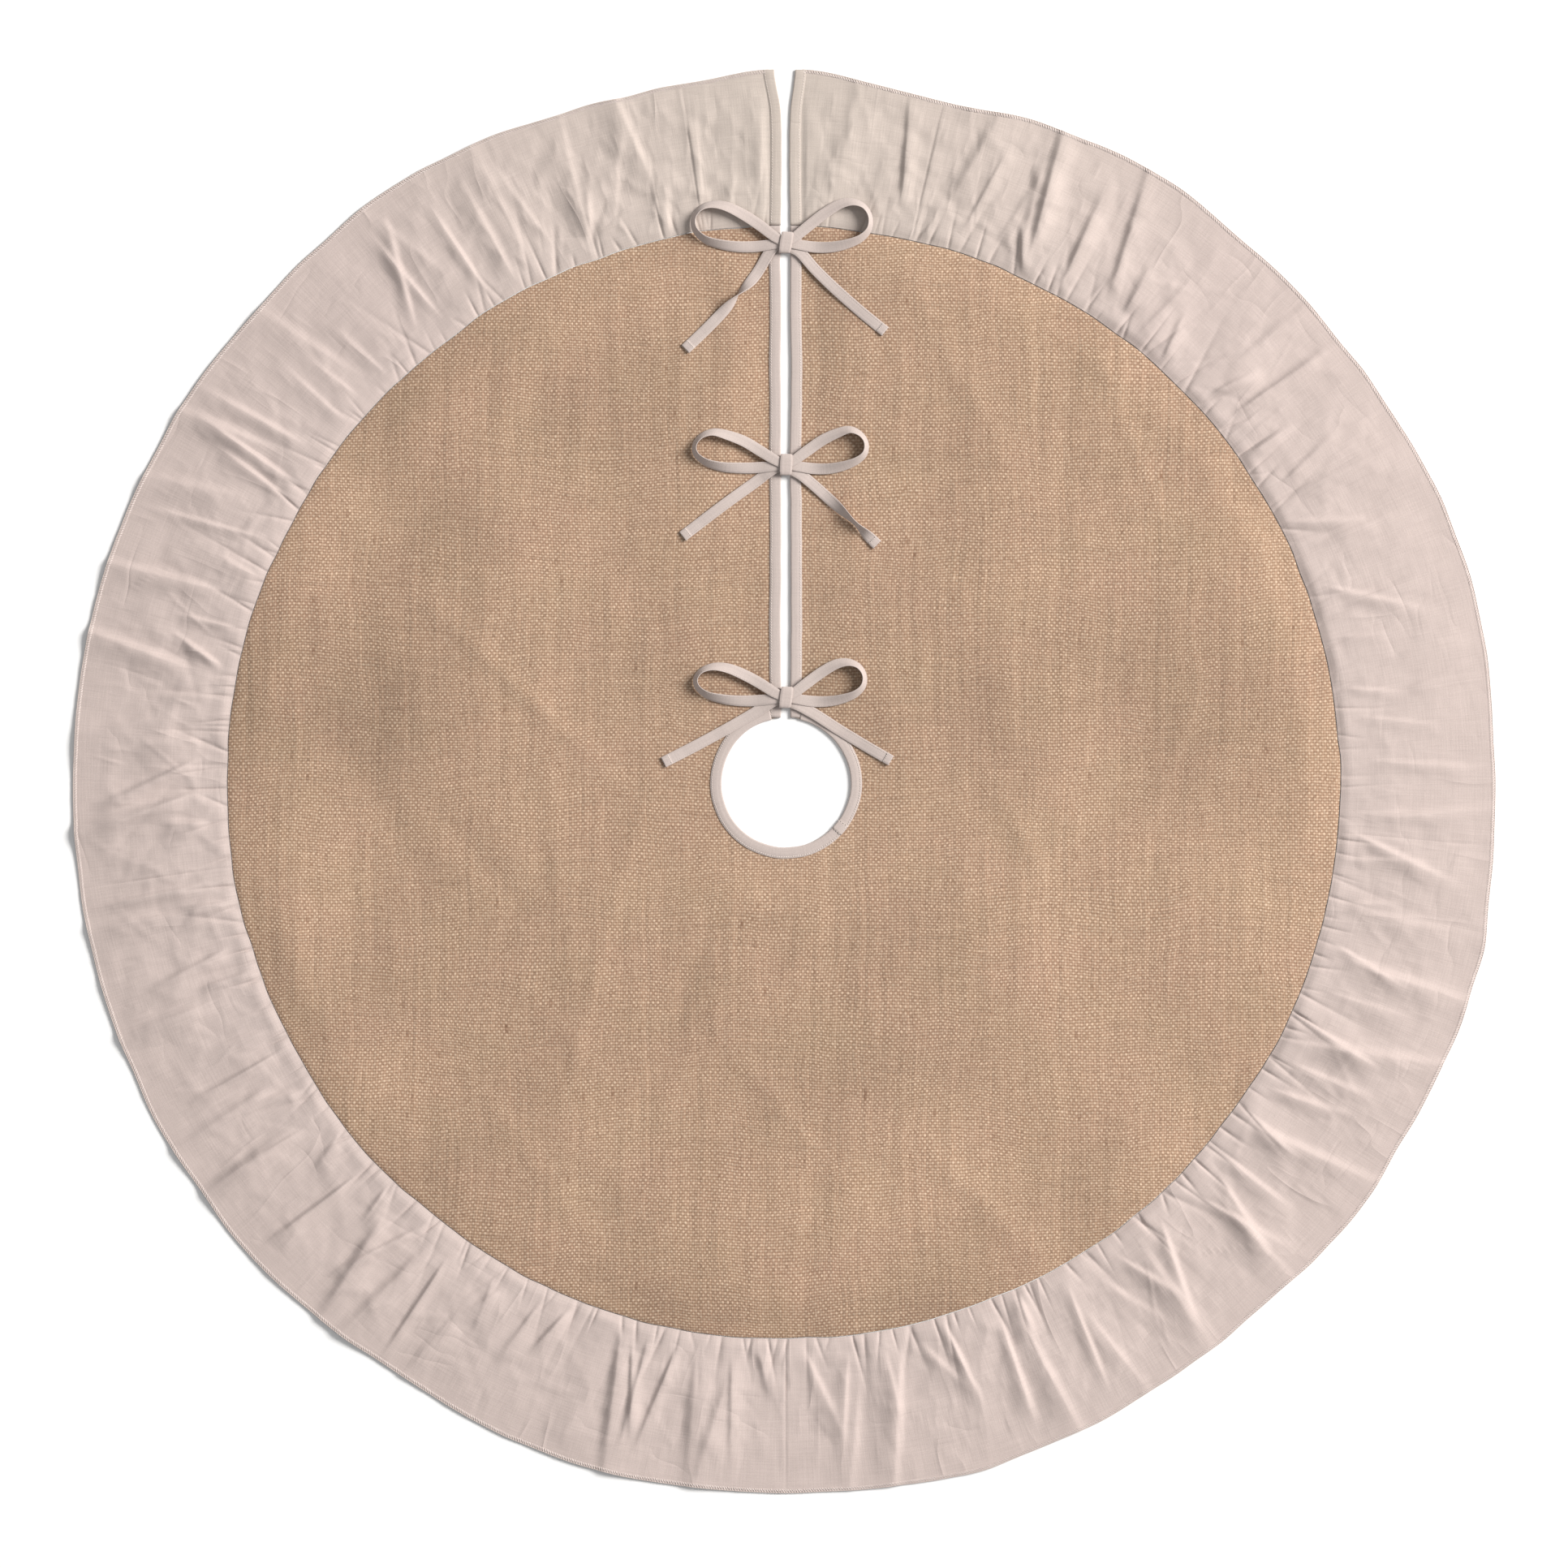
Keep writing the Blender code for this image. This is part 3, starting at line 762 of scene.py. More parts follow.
def linen_finish(name, colour, pitch, depth, contrast, seed, wrinkle_height=0.0, faded=None):
    """Fine plain-weave linen with faint slubs, flecks, soft cloudy tone and a little painted shade
    between its threads.

    Pitch is from thread to thread, depth the relief of the weave, and contrast how
    far single yarns differ in tone; seed keeps two rolls of linen apart.
    """
    f = Finish(name, 0.86, sheen=0.18)
    u, v = f.cloth_place()
    wander = f.lumps(u * 90.0, v * 90.0, seed + 0.3, detail=1.0) - 0.5
    across = u * (1 / pitch) + wander * 0.7
    along = v * (1 / pitch) + wander * 0.7
    height = plain_weave(across, along, 0.18, 0.18, 0.18)[0]
    yarn_across = f.lumps(u * 30.0, v * (0.45 / pitch), seed + 2.0, detail=2.0) - 0.5
    yarn_along = f.lumps(u * (0.45 / pitch), v * 30.0, seed + 4.0, detail=2.0) - 0.5
    cloud = f.lumps(u * 14.0, v * 14.0, seed + 6.0, detail=3.0) - 0.5
    fleck = (f.lumps(u * 420.0, v * 420.0, seed + 8.0, detail=1.0) * 9.0 - 6.3).clamped()
    # painted shade: the low places between the threads are darkened a little
    pore_shade = 1.0 - height * 0.5
    grain = f.lumps(u * 950.0, v * 950.0, seed + 13.0, detail=2.0) - 0.5
    brightness = (1.0 + (yarn_across + yarn_along) * contrast + cloud * 0.12 + grain * 0.26
                  - pore_shade * 0.08)
    base = f.mix(fleck * 0.32, colour, tuple(c * 0.62 for c in colour))
    if faded is not None:
        # the linen beside the slit is creamier
        base = f.mix((1.0 - u.size() * 2.2).clamped(), base, faded)
    bumpy = height * 0.30 + (yarn_across + yarn_along) * 0.8
    if wrinkle_height:
        lengthways = wrinkles(f, u * 26.0, v * 8.0, seed + 11.0)
        crossways = wrinkles(f, u * 10.0, v * 30.0, seed + 23.0)
        bumpy = bumpy + (lengthways - crossways * 0.7) * (wrinkle_height / depth)
    return f.finish_with(f.shade(base, brightness), bumpy, depth)


def thread_finish(name, dull, bright):
    """Sewing thread with a faint ply, between a dull and a bright tone."""
    f = Finish(name, 0.6, sheen=0.1)
    place = f.node("ShaderNodeTexCoord", {}, output=PLACE_IN_SPACE)
    ply = f.node("ShaderNodeTexNoise", {}, Vector=place, Scale=2200.0, Detail=1.0)
    tone = f.node("ShaderNodeTexNoise", {}, Vector=place, Scale=260.0, Detail=1.0)
    colour = f.mix(tone, dull, bright)
    return f.finish_with(colour, ply, 0.1 * MM, 0.6)


def tie_thread_finish():
    """Thread dyed close to the tie, so that its stitches show only faintly."""
    f = Finish("tie_thread", 0.7)
    place = f.node("ShaderNodeTexCoord", {}, output=PLACE_IN_SPACE)
    tone = f.node("ShaderNodeTexNoise", {}, Vector=place, Scale=300.0, Detail=1.0)
    return f.finish_with(f.mix(tone, *TIE_THREAD_TONES), tone, 0.05 * MM, 0.5)


BURLAP = burlap_finish()
LINEN = linen_finish("ruffle_linen", LINEN_COLOUR, 0.62 * MM, 0.13 * MM, 0.16, 0.0,
                     wrinkle_height=0.42 * MM, faded=LINEN_CREAM)
TAPE = linen_finish("linen_tape", TAPE_COLOUR, 0.75 * MM, 0.12 * MM, 0.13, 20.0)
THREAD = thread_finish("sewing_thread", *SEWING_TONES)
EDGE_THREAD = thread_finish("overlock_thread", *OVERLOCK_TONES)
TAPE_THREAD = tie_thread_finish()


# ---------------------------------------------------------------- cloths

def slit_turns(radius, edge, columns):
    """Turns clockwise from the slit's right edge round to its left one, for each radius."""
    start = np.arcsin(np.clip(edge / radius, 0, 1))
    share = np.linspace(0, 1, columns)
    return start[:, None] + share[None] * (2 * math.pi - 2 * start[:, None])


def across_fold(item):
    """Bakes a cloth's placement into its mesh."""
    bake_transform(item)
    return item


def make_burlap():
    """The burlap disc, in one piece, with its rows closer together towards the rim."""
    share = np.linspace(0, 1, BURLAP_RINGS)
    # the cut edge lies inside the fold of the hole's tape
    inner = HOLE_RADIUS + TAPE_THICKNESS + 0.3 * MM
    base = inner + (RIM_RADIUS - inner) * (1 - (1 - share) ** 1.25)
    turn = slit_turns(base, SLIT_CLOTH_EDGE, BURLAP_COLUMNS)
    stretch = (rim_radius(turn) - 0.4 * MM - inner) / (RIM_RADIUS - inner)
    radius = inner + (base[:, None] - inner) * stretch
    x, y = radius * np.sin(turn), radius * np.cos(turn)
    close = (np.abs(x) < SLIT_CLOTH_EDGE) & (y > 0)
    x = np.where(close, np.sign(x) * SLIT_CLOTH_EDGE, x)
    top = np.stack([x, y, burlap_height(x, y)], axis=-1)
    uv = np.stack([x, y], axis=-1)
    item = cloth_sheet("burlap_disc", top, BURLAP_THICKNESS * 0.9, uv, BURLAP)
    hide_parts("burlap_back", "burlap_front_left", "burlap_front_right")
    across_fold(item)
    area = math.pi * (RIM_RADIUS ** 2 - inner ** 2)
    return item


def slit_start(side):
    """Turn of the cloth's cut end beside the slit, halfway across the ruffle."""
    return side * math.asin(SLIT_CLOTH_EDGE / ((RIM_RADIUS + OUTER_RADIUS) / 2))


# What the seam leaves between the burlap's rim and the ruffle
SEAM_GAP = 0.3 * MM


def ruffle_surface(near, far):
    """Grid over one strip of the ruffle, between two turns of the same sign."""
    columns = max(int(abs(far - near) * RIM_RADIUS / RUFFLE_COLUMN_STEP), 8)
    share = np.linspace(0, 1, RUFFLE_RINGS)
    outward = 0.6 * share + 0.4 * share ** 2
    turn = np.linspace(near, far, columns)
    side = np.sign(near + far)
    rim, hem = rim_radius(turn), hem_radius(turn)
    sewn = rim + SEAM_GAP
    radius = sewn[None] + (hem - sewn)[None] * outward[:, None]
    turn = np.repeat(turn[None], RUFFLE_RINGS, axis=0)
    # near the slit the strip's cut end runs straight, not towards the centre
    start = abs(slit_start(side))
    near_slit = smoothstep(0.05, 0.0, np.abs(turn) - start)
    middle = (RIM_RADIUS + OUTER_RADIUS) / 2
    x = radius * np.sin(turn) + side * (middle - radius) * math.sin(start) * near_slit
    y = np.sqrt(np.maximum(radius ** 2 - x ** 2, 0)) * np.sign(np.cos(turn))
    x = x + side * end_flare(y, side) * smoothstep(0.09, 0.0, np.abs(turn) - start) * (y > 0)
    uv = np.stack([turn * OUTER_RADIUS * RUFFLE_FULLNESS, radius], axis=-1)
    return x, y, uv


def make_ruffle():
    """The ruffle's strips, from the back round the left to the right."""
    joins = sorted(STRIP_JOINS + (slit_start(-1), slit_start(1)))
    strips = [(near, far) for near, far in zip(joins, joins[1:]) if near * far > 0]
    for number, (near, far) in enumerate(strips):
        x, y, uv = ruffle_surface(near, far)
        top = np.stack([x, y, linen_height(x, y)], axis=-1)
        item = cloth_sheet("ruffle_strip_{}".format(number + 1), top, LINEN_THICKNESS, uv, LINEN)
        if number == 0:
            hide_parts("ruffle_back")
        elif number == 1:
            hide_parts("ruffle_front_left")
        elif number == len(strips) - 2:
            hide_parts("ruffle_front_right")
        across_fold(item)
        length = (far - near) * OUTER_RADIUS * RUFFLE_FULLNESS


# ---------------------------------------------------------------- edges and seams

def round_turns(edge, radius, steps):
    """Turns from a distance right of the slit round to the same distance left of it."""
    start = math.asin(edge / radius)
    return np.linspace(start, 2 * math.pi - start, steps)


def signed(turn):
    """The same turn, between -pi and pi."""
    return (turn + math.pi) % (2 * math.pi) - math.pi


def circle_path(radius, turn, height):
    """Points at a radius that may vary with the turn, at heights from a function."""
    x, y = radius * np.sin(turn), radius * np.cos(turn)
    return np.stack([x, y, height(x, y)], axis=-1)


def make_edge_stitching():
    """White overlock round the hem: slanted stitches on both faces over an edge cord."""
    edge = HALF_SLIT + TAPE_WIDTH + 0.6 * MM
    turn = round_turns(edge, OUTER_RADIUS, HEM_STEPS)
    hem = hem_radius(signed(turn))
    rim_line = circle_path(hem - 1.5 * MM, turn, linen_height)
    outline = circle_path(hem + 0.1 * MM, turn, linen_height)
    places, along = resample(rim_line, STITCH_PITCH)
    outward = unit(places * LEVEL)
    length, slant = 3.8 * MM, 0.45
    lift = 0.16 * MM * UP
    top = stitches("edge_stitches_top", places + lift, outward, UP, length,
                   1.5 * STITCH_RADIUS, slant, EDGE_THREAD, 61)
    shifted = places + 0.5 * STITCH_PITCH * along - 0.5 * MM * outward
    back_turn = stitches("edge_stitches_back_turn", shifted + 0.5 * lift, outward, UP,
                         0.75 * length, 1.4 * STITCH_RADIUS, slant, EDGE_THREAD, 63)
    under = stitches("edge_stitches_under", places - LINEN_THICKNESS * UP - lift, outward,
                     -UP, length, 1.5 * STITCH_RADIUS, slant, EDGE_THREAD, 62)
    outline = outline - LINEN_THICKNESS / 2 * UP
    outward = unit(outline * LEVEL)
    ring = [(0.42 * MM * math.cos(a), 0.55 * MM * math.sin(a))
            for a in np.linspace(0, 2 * math.pi, 6, endpoint=False)]
    rise = np.broadcast_to(UP, outline.shape)
    cord = swept("edge_cord", outline, outward, rise, ring, TAPE_THREAD)
    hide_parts("edge_stitching_back", "edge_stitching_front_left",
                "edge_stitching_front_right")
    for item in (top, back_turn, under, cord):
        across_fold(item)


def folded_tape_section(width, top, thickness, pinch):
    """Rounded U of a tape folded over an edge: (outward from the fold, height) points.

    The pinch is how far its stitches pull the tape down near its free edge.
    """
    half = top / 2
    flatness = 0.9
    outer = [(half * (1 - math.cos(a)) * flatness, half * (1 - math.sin(a)))
             for a in np.linspace(math.pi / 2, -math.pi / 2, 9)]
    inner_half = half - thickness
    inner = [(thickness + inner_half * (1 - math.cos(a)) * flatness, half - inner_half * math.sin(a))
             for a in np.linspace(-math.pi / 2, math.pi / 2, 7)]
    crown = 0.10 * MM
    upper = [(half + 0.3 * MM, top + crown * 0.2), (half + 1.1 * MM, top + crown * 0.6),
             (width * 0.45, top + crown), (width * 0.78, top + crown * 0.5),
             (width - 1.5 * MM, top - pinch), (width - 0.2 * MM, top - 0.1 * MM),
             (width, top - thickness * 0.6), (width - 0.1 * MM, top - thickness)]
    lower = [(width - 0.1 * MM, thickness), (width, thickness * 0.5), (width - 0.3 * MM, 0.0)]
    return outer + upper + inner + lower


def sewn_unevenness(along, seed):
    """How far a hand-guided binding strays from its line, in metres."""
    level = 0 * along
    return (0.45 * MM * noise(along, level, 0.045, seed)
            + 0.2 * MM * noise(along, level, 0.012, seed + 1))


def straight_tape(name, side, start, end, material, node, height, flare=None):
    """A folded tape along the slit with its row of slanted stitches."""
    steps = max(int((end - start) / (2.5 * MM)), 4)
    y = np.linspace(start, end, steps)
    x = HALF_SLIT + sewn_unevenness(y, 70 + side) * smoothstep(0, 8 * MM, y - start)
    if flare is not None:
        x = x + flare(y, side)
    centres = np.stack([side * x, y, 0 * y], axis=-1)
    across = np.broadcast_to(np.array((side, 0.0, 0.0)), centres.shape)
    rise = np.broadcast_to(UP, centres.shape)
    section = folded_tape_section(TAPE_WIDTH, height, TAPE_THICKNESS, 0.15 * MM)
    item = swept(name, centres, across, rise, section, material)
    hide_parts(node)
    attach(item, "front")
    seam = centres + across * (TAPE_WIDTH - 1.6 * MM) + rise * (height + STITCH_LIFT)
    places, along = resample(seam, STITCH_PITCH, 1.5 * MM)
    row = stitches(name + "_stitches", places, along, UP, 1.75 * MM, STITCH_RADIUS,
                   -0.5 * side, THREAD, 77)
    below = places - UP * (height + 0.1 * MM)
    back = stitches(name + "_stitches_under", below, along, -UP, 1.75 * MM, STITCH_RADIUS,
                    0.1, THREAD, 78)
    for thread in (row, back):
        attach(thread, "front")


def make_slit_tapes():
    """The bindings of the burlap's slit and the folded bands on the ruffle's two ends."""
    top = math.sqrt(hem_radius(0.0) ** 2 - (HALF_SLIT + TAPE_WIDTH) ** 2) - 0.4 * MM
    for word, side in SIDES:
        straight_tape("slit_tape_" + word, side, HOLE_RADIUS + 0.4 * MM, RIM_RADIUS - 0.3 * MM,
                      TAPE, "slit_binding_" + word, BINDING_TOP)
        straight_tape("ruffle_end_" + word, side, RIM_RADIUS + 0.2 * MM, top, LINEN,
                      "ruffle_end_band_" + word, BURLAP_TOP + 0.35 * MM, end_flare)


def hole_edge(turn):
    """Radius of the tape's fold round the hole, which isn't quite a circle."""
    uneven = 0.5 - 0.5 * ring_noise(turn, 6, 86)
    return HOLE_RADIUS + sewn_unevenness(turn * HOLE_RADIUS, 81) - 1.3 * MM * uneven


def make_hole_tape():
    """The tape folded over the edge of the centre hole, with its stitches."""
    edge = HALF_SLIT + TAPE_WIDTH + 0.2 * MM
    turn = round_turns(edge, HOLE_RADIUS + TAPE_WIDTH, HOLE_STEPS)
    outward = np.stack([np.sin(turn), np.cos(turn), 0 * turn], axis=-1)
    centres = hole_edge(turn)[:, None] * outward
    rise = np.broadcast_to(UP, centres.shape)
    section = folded_tape_section(TAPE_WIDTH, BINDING_TOP, TAPE_THICKNESS, 0.2 * MM)
    item = swept("hole_tape", centres, outward, rise, section, TAPE)
    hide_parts("hole_binding_back", "hole_binding_front_left", "hole_binding_front_right")
    across_fold(item)
    length = 2 * math.pi * (HOLE_RADIUS + TAPE_WIDTH / 2)
    seam = centres + outward * (TAPE_WIDTH - 1.5 * MM) + rise * (BINDING_TOP + STITCH_LIFT)
    places, along = resample(seam, 2.0 * MM, 1 * MM)
    row = stitches("hole_tape_stitches", places, along, UP, 1.6 * MM, 0.9 * STITCH_RADIUS,
                   0.35, THREAD, 83)
    below = places - UP * (BINDING_TOP + 0.1 * MM)
    under = stitches("hole_tape_stitches_under", below, along, -UP, 1.6 * MM,
                     0.9 * STITCH_RADIUS, 0.1, THREAD, 84)
    for thread in (row, under):
        across_fold(thread)
    make_tape_join(section)


def make_tape_join(section):
    """The lapped end of the hole's tape, turned in and tacked down at the lower right."""
    middle = math.radians(129)
    turn = middle + np.linspace(-4.2, 4.2, 9) * MM / HOLE_RADIUS
    outward = np.stack([np.sin(turn), np.cos(turn), 0 * turn], axis=-1)
    centres = outward * (hole_edge(turn) - 0.05 * MM)[:, None]
    lap = [(min(u, TAPE_WIDTH) + (0.15 * MM if u > TAPE_WIDTH / 2 else -0.12 * MM),
            z + (0.35 * MM if z > BINDING_TOP / 2 else -0.02 * MM)) for u, z in section]
    rise = np.broadcast_to(UP, centres.shape)
    item = swept("hole_tape_join", centres, outward, rise, lap, TAPE)
    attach(item, "back")
    tacks, ways = [], []
    for end, way in zip(centres[[0, -1]], outward[[0, -1]]):
        for share in (0.25, 0.5, 0.75):
            tacks.append(end + way * TAPE_WIDTH * share + UP * (BINDING_TOP + 0.65 * MM))
            ways.append(way)
    tack = stitches("hole_tape_tacks", tacks, ways, UP, 2.0 * MM, STITCH_RADIUS, 0.0, THREAD, 85)
    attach(tack, "back")


def make_seam_allowance():
    """The gathered raw edges turned under the burlap, overlocked along their inner edge."""
    edge = HALF_SLIT + TAPE_WIDTH + 0.6 * MM
    turn = round_turns(edge, RIM_RADIUS, ALLOWANCE_STEPS)
    rim = rim_radius(signed(turn))
    share = np.linspace(0, 1, 6)
    inner = rim - 9.5 * MM + 0.5 * MM * ring_noise(turn, 200, 91)
    radius = inner[None] + (rim - 0.6 * MM - inner)[None] * share[:, None]
    turns = np.repeat(turn[None], len(share), axis=0)
    crimp = 0.10 * MM * ring_noise(turns, 700, 92)
    x, y = radius * np.sin(turns), radius * np.cos(turns)
    top = np.stack([x, y, 0.52 * MM + crimp], axis=-1)
    uv = np.stack([turns * OUTER_RADIUS, radius], axis=-1)
    item = cloth_sheet("seam_allowance", top, 0.40 * MM, uv, LINEN)
    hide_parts("seam_overlock_back", "seam_overlock_front_left",
                "seam_overlock_front_right")
    line = circle_path(inner + 1.8 * MM, turn, lambda a, b: 0 * a + 0.10 * MM)
    places, _ = resample(line, 2.6 * MM)
    outward = unit(places * LEVEL)
    loops = stitches("seam_overlock_stitches", places, outward, -UP, 4.4 * MM,
                     1.3 * STITCH_RADIUS, 0.4, THREAD, 93)
    across_fold(item)
    across_fold(loops)


# ---------------------------------------------------------------- bows

def curve_through(points, steps):
    """Catmull-Rom curve through rows of numbers, evenly divided between them."""
    rows = np.asarray(points, float)
    rows = np.concatenate([[2 * rows[0] - rows[1]], rows, [2 * rows[-1] - rows[-2]]])
    place = np.linspace(0, len(points) - 1, steps)
    k = np.minimum(place.astype(int), len(points) - 2)
    t = (place - k)[:, None]
    a, b, c, d = rows[k], rows[k + 1], rows[k + 2], rows[k + 3]
    return 0.5 * (2 * b + (c - a) * t + (2 * a - 5 * b + 4 * c - d) * t ** 2
                  + (3 * b - a - 3 * c + d) * t ** 3)


def tie_section(width, thickness):
    """A pressed, folded tie: two flat faces, full edges and a stitched dip near one edge."""
    w, t = width / 2, thickness / 2
    return [(-w, -t * 0.4), (-w * 0.93, -t), (-w * 0.5, -t * 0.86), (0, -t * 0.86),
            (w * 0.5, -t * 0.86), (w * 0.93, -t), (w, -t * 0.4), (w, t * 0.4), (w * 0.93, t),
            (w * 0.72, t * 0.7), (w * 0.5, t * 0.95), (0, t * 0.95), (-w * 0.5, t * 0.95),
            (-w * 0.93, t), (-w, t * 0.4)]


def tie_strip(name, path, turn, width, thickness=None):
    """A tie along a path; turn is its lean in radians, 0 flat and a quarter turn on edge."""
    thickness = np.full(len(path), TIE_THICKNESS) if thickness is None else thickness
    along = tangents(path)
    side = unit(np.cross(UP, along))
    rise = unit(np.cross(along, side))
    across = side * np.cos(turn)[:, None] + rise * np.sin(turn)[:, None]
    normal = unit(np.cross(along, across))
    sections = np.array([tie_section(w, t) for w, t in zip(width, thickness)])
    item = swept(name, path, across, normal, sections, TAPE)
    return item, across, normal


def path_length(path):
    return float(lengths_along(path)[-1])


def resting_height(path, across, half):
    """Height of the cloth under a strip, the highest of three places across it, smoothed."""
    under = []
    for share in (-0.9, 0.0, 0.9):
        place = path + across * (share * half)[:, None]
        under.append(skirt_height(place[:, 0], place[:, 1]))
    highest = np.max(under, axis=0)
    reach = 2
    window = 2 * reach + 1
    wide = np.array([highest[max(i - reach, 0):i + reach + 1].max() for i in range(len(highest))])
    padded = np.pad(wide, reach, mode="edge")
    return np.convolve(padded, np.ones(window) / window, mode="valid")


# A loop from the knot out along its upper strand and back along the lower one:
# share of the reach, share of the rise, lean in radians, width share
LOOP_SHAPE = (
    (0.03, 0.02, 0.00, 0.80), (0.13, 0.17, 0.03, 0.92), (0.28, 0.44, 0.08, 1.00),
    (0.45, 0.73, 0.22, 1.00), (0.63, 0.95, 0.50, 1.00), (0.79, 1.02, 0.85, 1.00),
    (0.92, 0.90, 1.10, 1.00), (0.99, 0.64, 1.18, 1.00), (0.975, 0.34, 1.10, 1.00),
    (0.87, 0.09, 0.90, 1.00), (0.70, -0.06, 0.62, 1.00), (0.52, -0.12, 0.34, 1.00),
    (0.34, -0.11, 0.12, 1.00), (0.17, -0.06, 0.02, 0.92), (0.03, -0.02, 0.00, 0.80),
)


def swing_span(side, knot):
    """A start and an end beside the knot on one side, 1.5 mm and 12 mm out from the slit's line."""
    return dict(start=(side * 1.5 * MM, knot[1], 0), end=(side * 12 * MM, knot[1], 0))


def make_loop(bow, word, side, knot):
    """One loop of a bow, standing on its lower edge where it bends round."""
    node = "bow_{}_loop_{}".format(bow, word)
    box_low, box_high = low(node), high(node)
    reach = max(abs(box_low[0]), abs(box_high[0])) - 2.2 * MM
    rise = box_high[1] - knot[1] - 5.0 * MM
    rng = np.random.default_rng(len(bow) * 7 + side)
    rows = np.array(LOOP_SHAPE)
    wobble = rng.normal(0, 0.012, rows.shape[0]) * smoothstep(0.1, 0.4, rows[:, 0])
    points = np.stack([rows[:, 0] * reach, (rows[:, 1] + wobble) * rise, rows[:, 2], rows[:, 3]],
                      axis=-1)
    curve = curve_through(points, LOOP_STEPS)
    x, y = side * curve[:, 0], knot[1] + curve[:, 1]
    lean, width = curve[:, 2], np.minimum(curve[:, 3], 1.0) * TIE_WIDTH
    flat = np.stack([x, y, 0 * x], axis=-1)
    across = np.cross(UP, tangents(flat))
    upper = np.linspace(0, 1, len(x)) < 0.5
    level = np.where(upper, knot[2] + 1.35 * MM, knot[2] + 0.15 * MM)
    half = width / 2 * np.cos(lean)
    floor = resting_height(flat, across, half) + 0.25 * MM + TIE_THICKNESS / 2
    standing = floor + width / 2 * np.sin(lean)
    away = smoothstep(8 * MM, 34 * MM, np.abs(x))
    # the strands lie down away from the knot, the upper one arching over the lower
    arch = np.where(upper, 2.4 * MM * smoothstep(0.9, 0.4, np.abs(x) / reach), 0.3 * MM)
    z = level * (1 - away) + np.maximum(standing + arch * (1 - np.sin(lean)), standing) * away
    z = np.maximum(z, standing)
    smoothing = np.hanning(2 * LOOP_SMOOTHING + 1)
    padded = np.pad(z, LOOP_SMOOTHING, mode="edge")
    z = np.maximum(np.convolve(padded, smoothing / smoothing.sum(), mode="valid"), standing)
    path = np.stack([x, y, z], axis=-1)
    # leans so that the outer face of the bend is the one on top
    turn = -lean if side > 0 else lean
    item, across, normal = tie_strip(node + "_tie", path, turn, width)
    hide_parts(node)
    span = swing_span(side, knot)
    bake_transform(item)
    path_length(path)
    add_tie_stitches(node + "_stitches", path, across, normal, width, 100 + side)


def add_tie_stitches(name, path, across, normal, width, seed):
    """The fine edge stitching down one side of a tie."""
    # the face that is on top a little way out from the knot carries the stitches
    up = normal * np.sign(normal[len(normal) // 8, 2])
    line = path + across * (0.36 * width)[:, None] + up * 0.37 * MM
    margin = 2 * MM
    places, along = resample(line, 1.9 * MM, margin)
    steps = lengths_along(line)
    at = margin + (np.arange(len(places)) + 0.5) * (steps[-1] - 2 * margin) / len(places)
    ups = unit(at_lengths(up, steps, at))
    row = stitches(name, places, along, ups, 1.35 * MM, 0.16 * MM, 0.0, TAPE_THREAD, seed)
    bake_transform(row)


# How far each bow's tails bow out sideways, as a share of their length
TAIL_BENDS = {"outer": 0.05, "middle": -0.02, "inner": 0.03}
# How far each bow's knot leans, in radians
KNOT_LEANS = {"outer": -0.16, "middle": -0.05, "inner": -0.13}


def make_tail(bow, word, side, knot):
    """One free end of a tie, lying on the skirt, with its tip turned up and stitched."""
    node = "bow_{}_tail_{}".format(bow, word)
    box_low, box_high = low(node), high(node)
    out = max(abs(box_low[0]), abs(box_high[0])) - 2.5 * MM
    drop = box_low[1] - knot[1] + 4.0 * MM
    start_y = -1.5 * MM if side < 0 else -4.5 * MM
    rows = [(0.5 * MM, start_y * 0.4), (5.5 * MM, start_y), (13 * MM, start_y + 0.06 * drop)]
    for share in (0.3, 0.5, 0.72, 0.88, 1.0):
        fallen = share + TAIL_BENDS[bow] * math.sin(math.pi * share) - 0.05 * (1 - share)
        rows.append((out * share, drop * fallen))
    curve = curve_through(rows, TAIL_STEPS)
    x, y = side * curve[:, 0], knot[1] + curve[:, 1]
    share = np.linspace(0, 1, len(x))
    width = TIE_WIDTH * (0.82 + 0.18 * smoothstep(0.0, 0.16, share))
    turn = 0.10 * np.sin(share * 9 + side)
    if (bow, side) == ("outer", -1):
        # turned right over once
        turn = turn + math.pi * smoothstep(0.41, 0.69, share)
    if (bow, side) == ("middle", 1):
        # up on its edge and down again
        turn = turn + 1.15 * bump(share, 0.74, 0.13)
    flat = np.stack([x, y, 0 * x], axis=-1)
    across = np.cross(UP, tangents(flat))
    floor = resting_height(flat, across, width / 2 * np.abs(np.cos(turn))) + 0.2 * MM
    standing = floor + TIE_THICKNESS / 2 + width / 2 * np.abs(np.sin(turn))
    away = smoothstep(7 * MM, 24 * MM, np.abs(x))
    z = np.maximum(standing, (knot[2] - 0.9 * MM) * (1 - away) + standing * away)
    hem = smoothstep(0.925, 0.935, share)
    thickness = TIE_THICKNESS * (1 + 0.9 * hem)
    z = z + hem * 0.35 * MM
    path = np.stack([x, y, z], axis=-1)
    item, across, normal = tie_strip(node + "_tie", path, turn, width, thickness)
    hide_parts(node)
    span = swing_span(side, knot)
    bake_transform(item)
    path_length(path)
    add_tie_stitches(node + "_stitches", path, across, normal, width, 120 + side)
    add_tail_hem(node, path, across, normal, width)


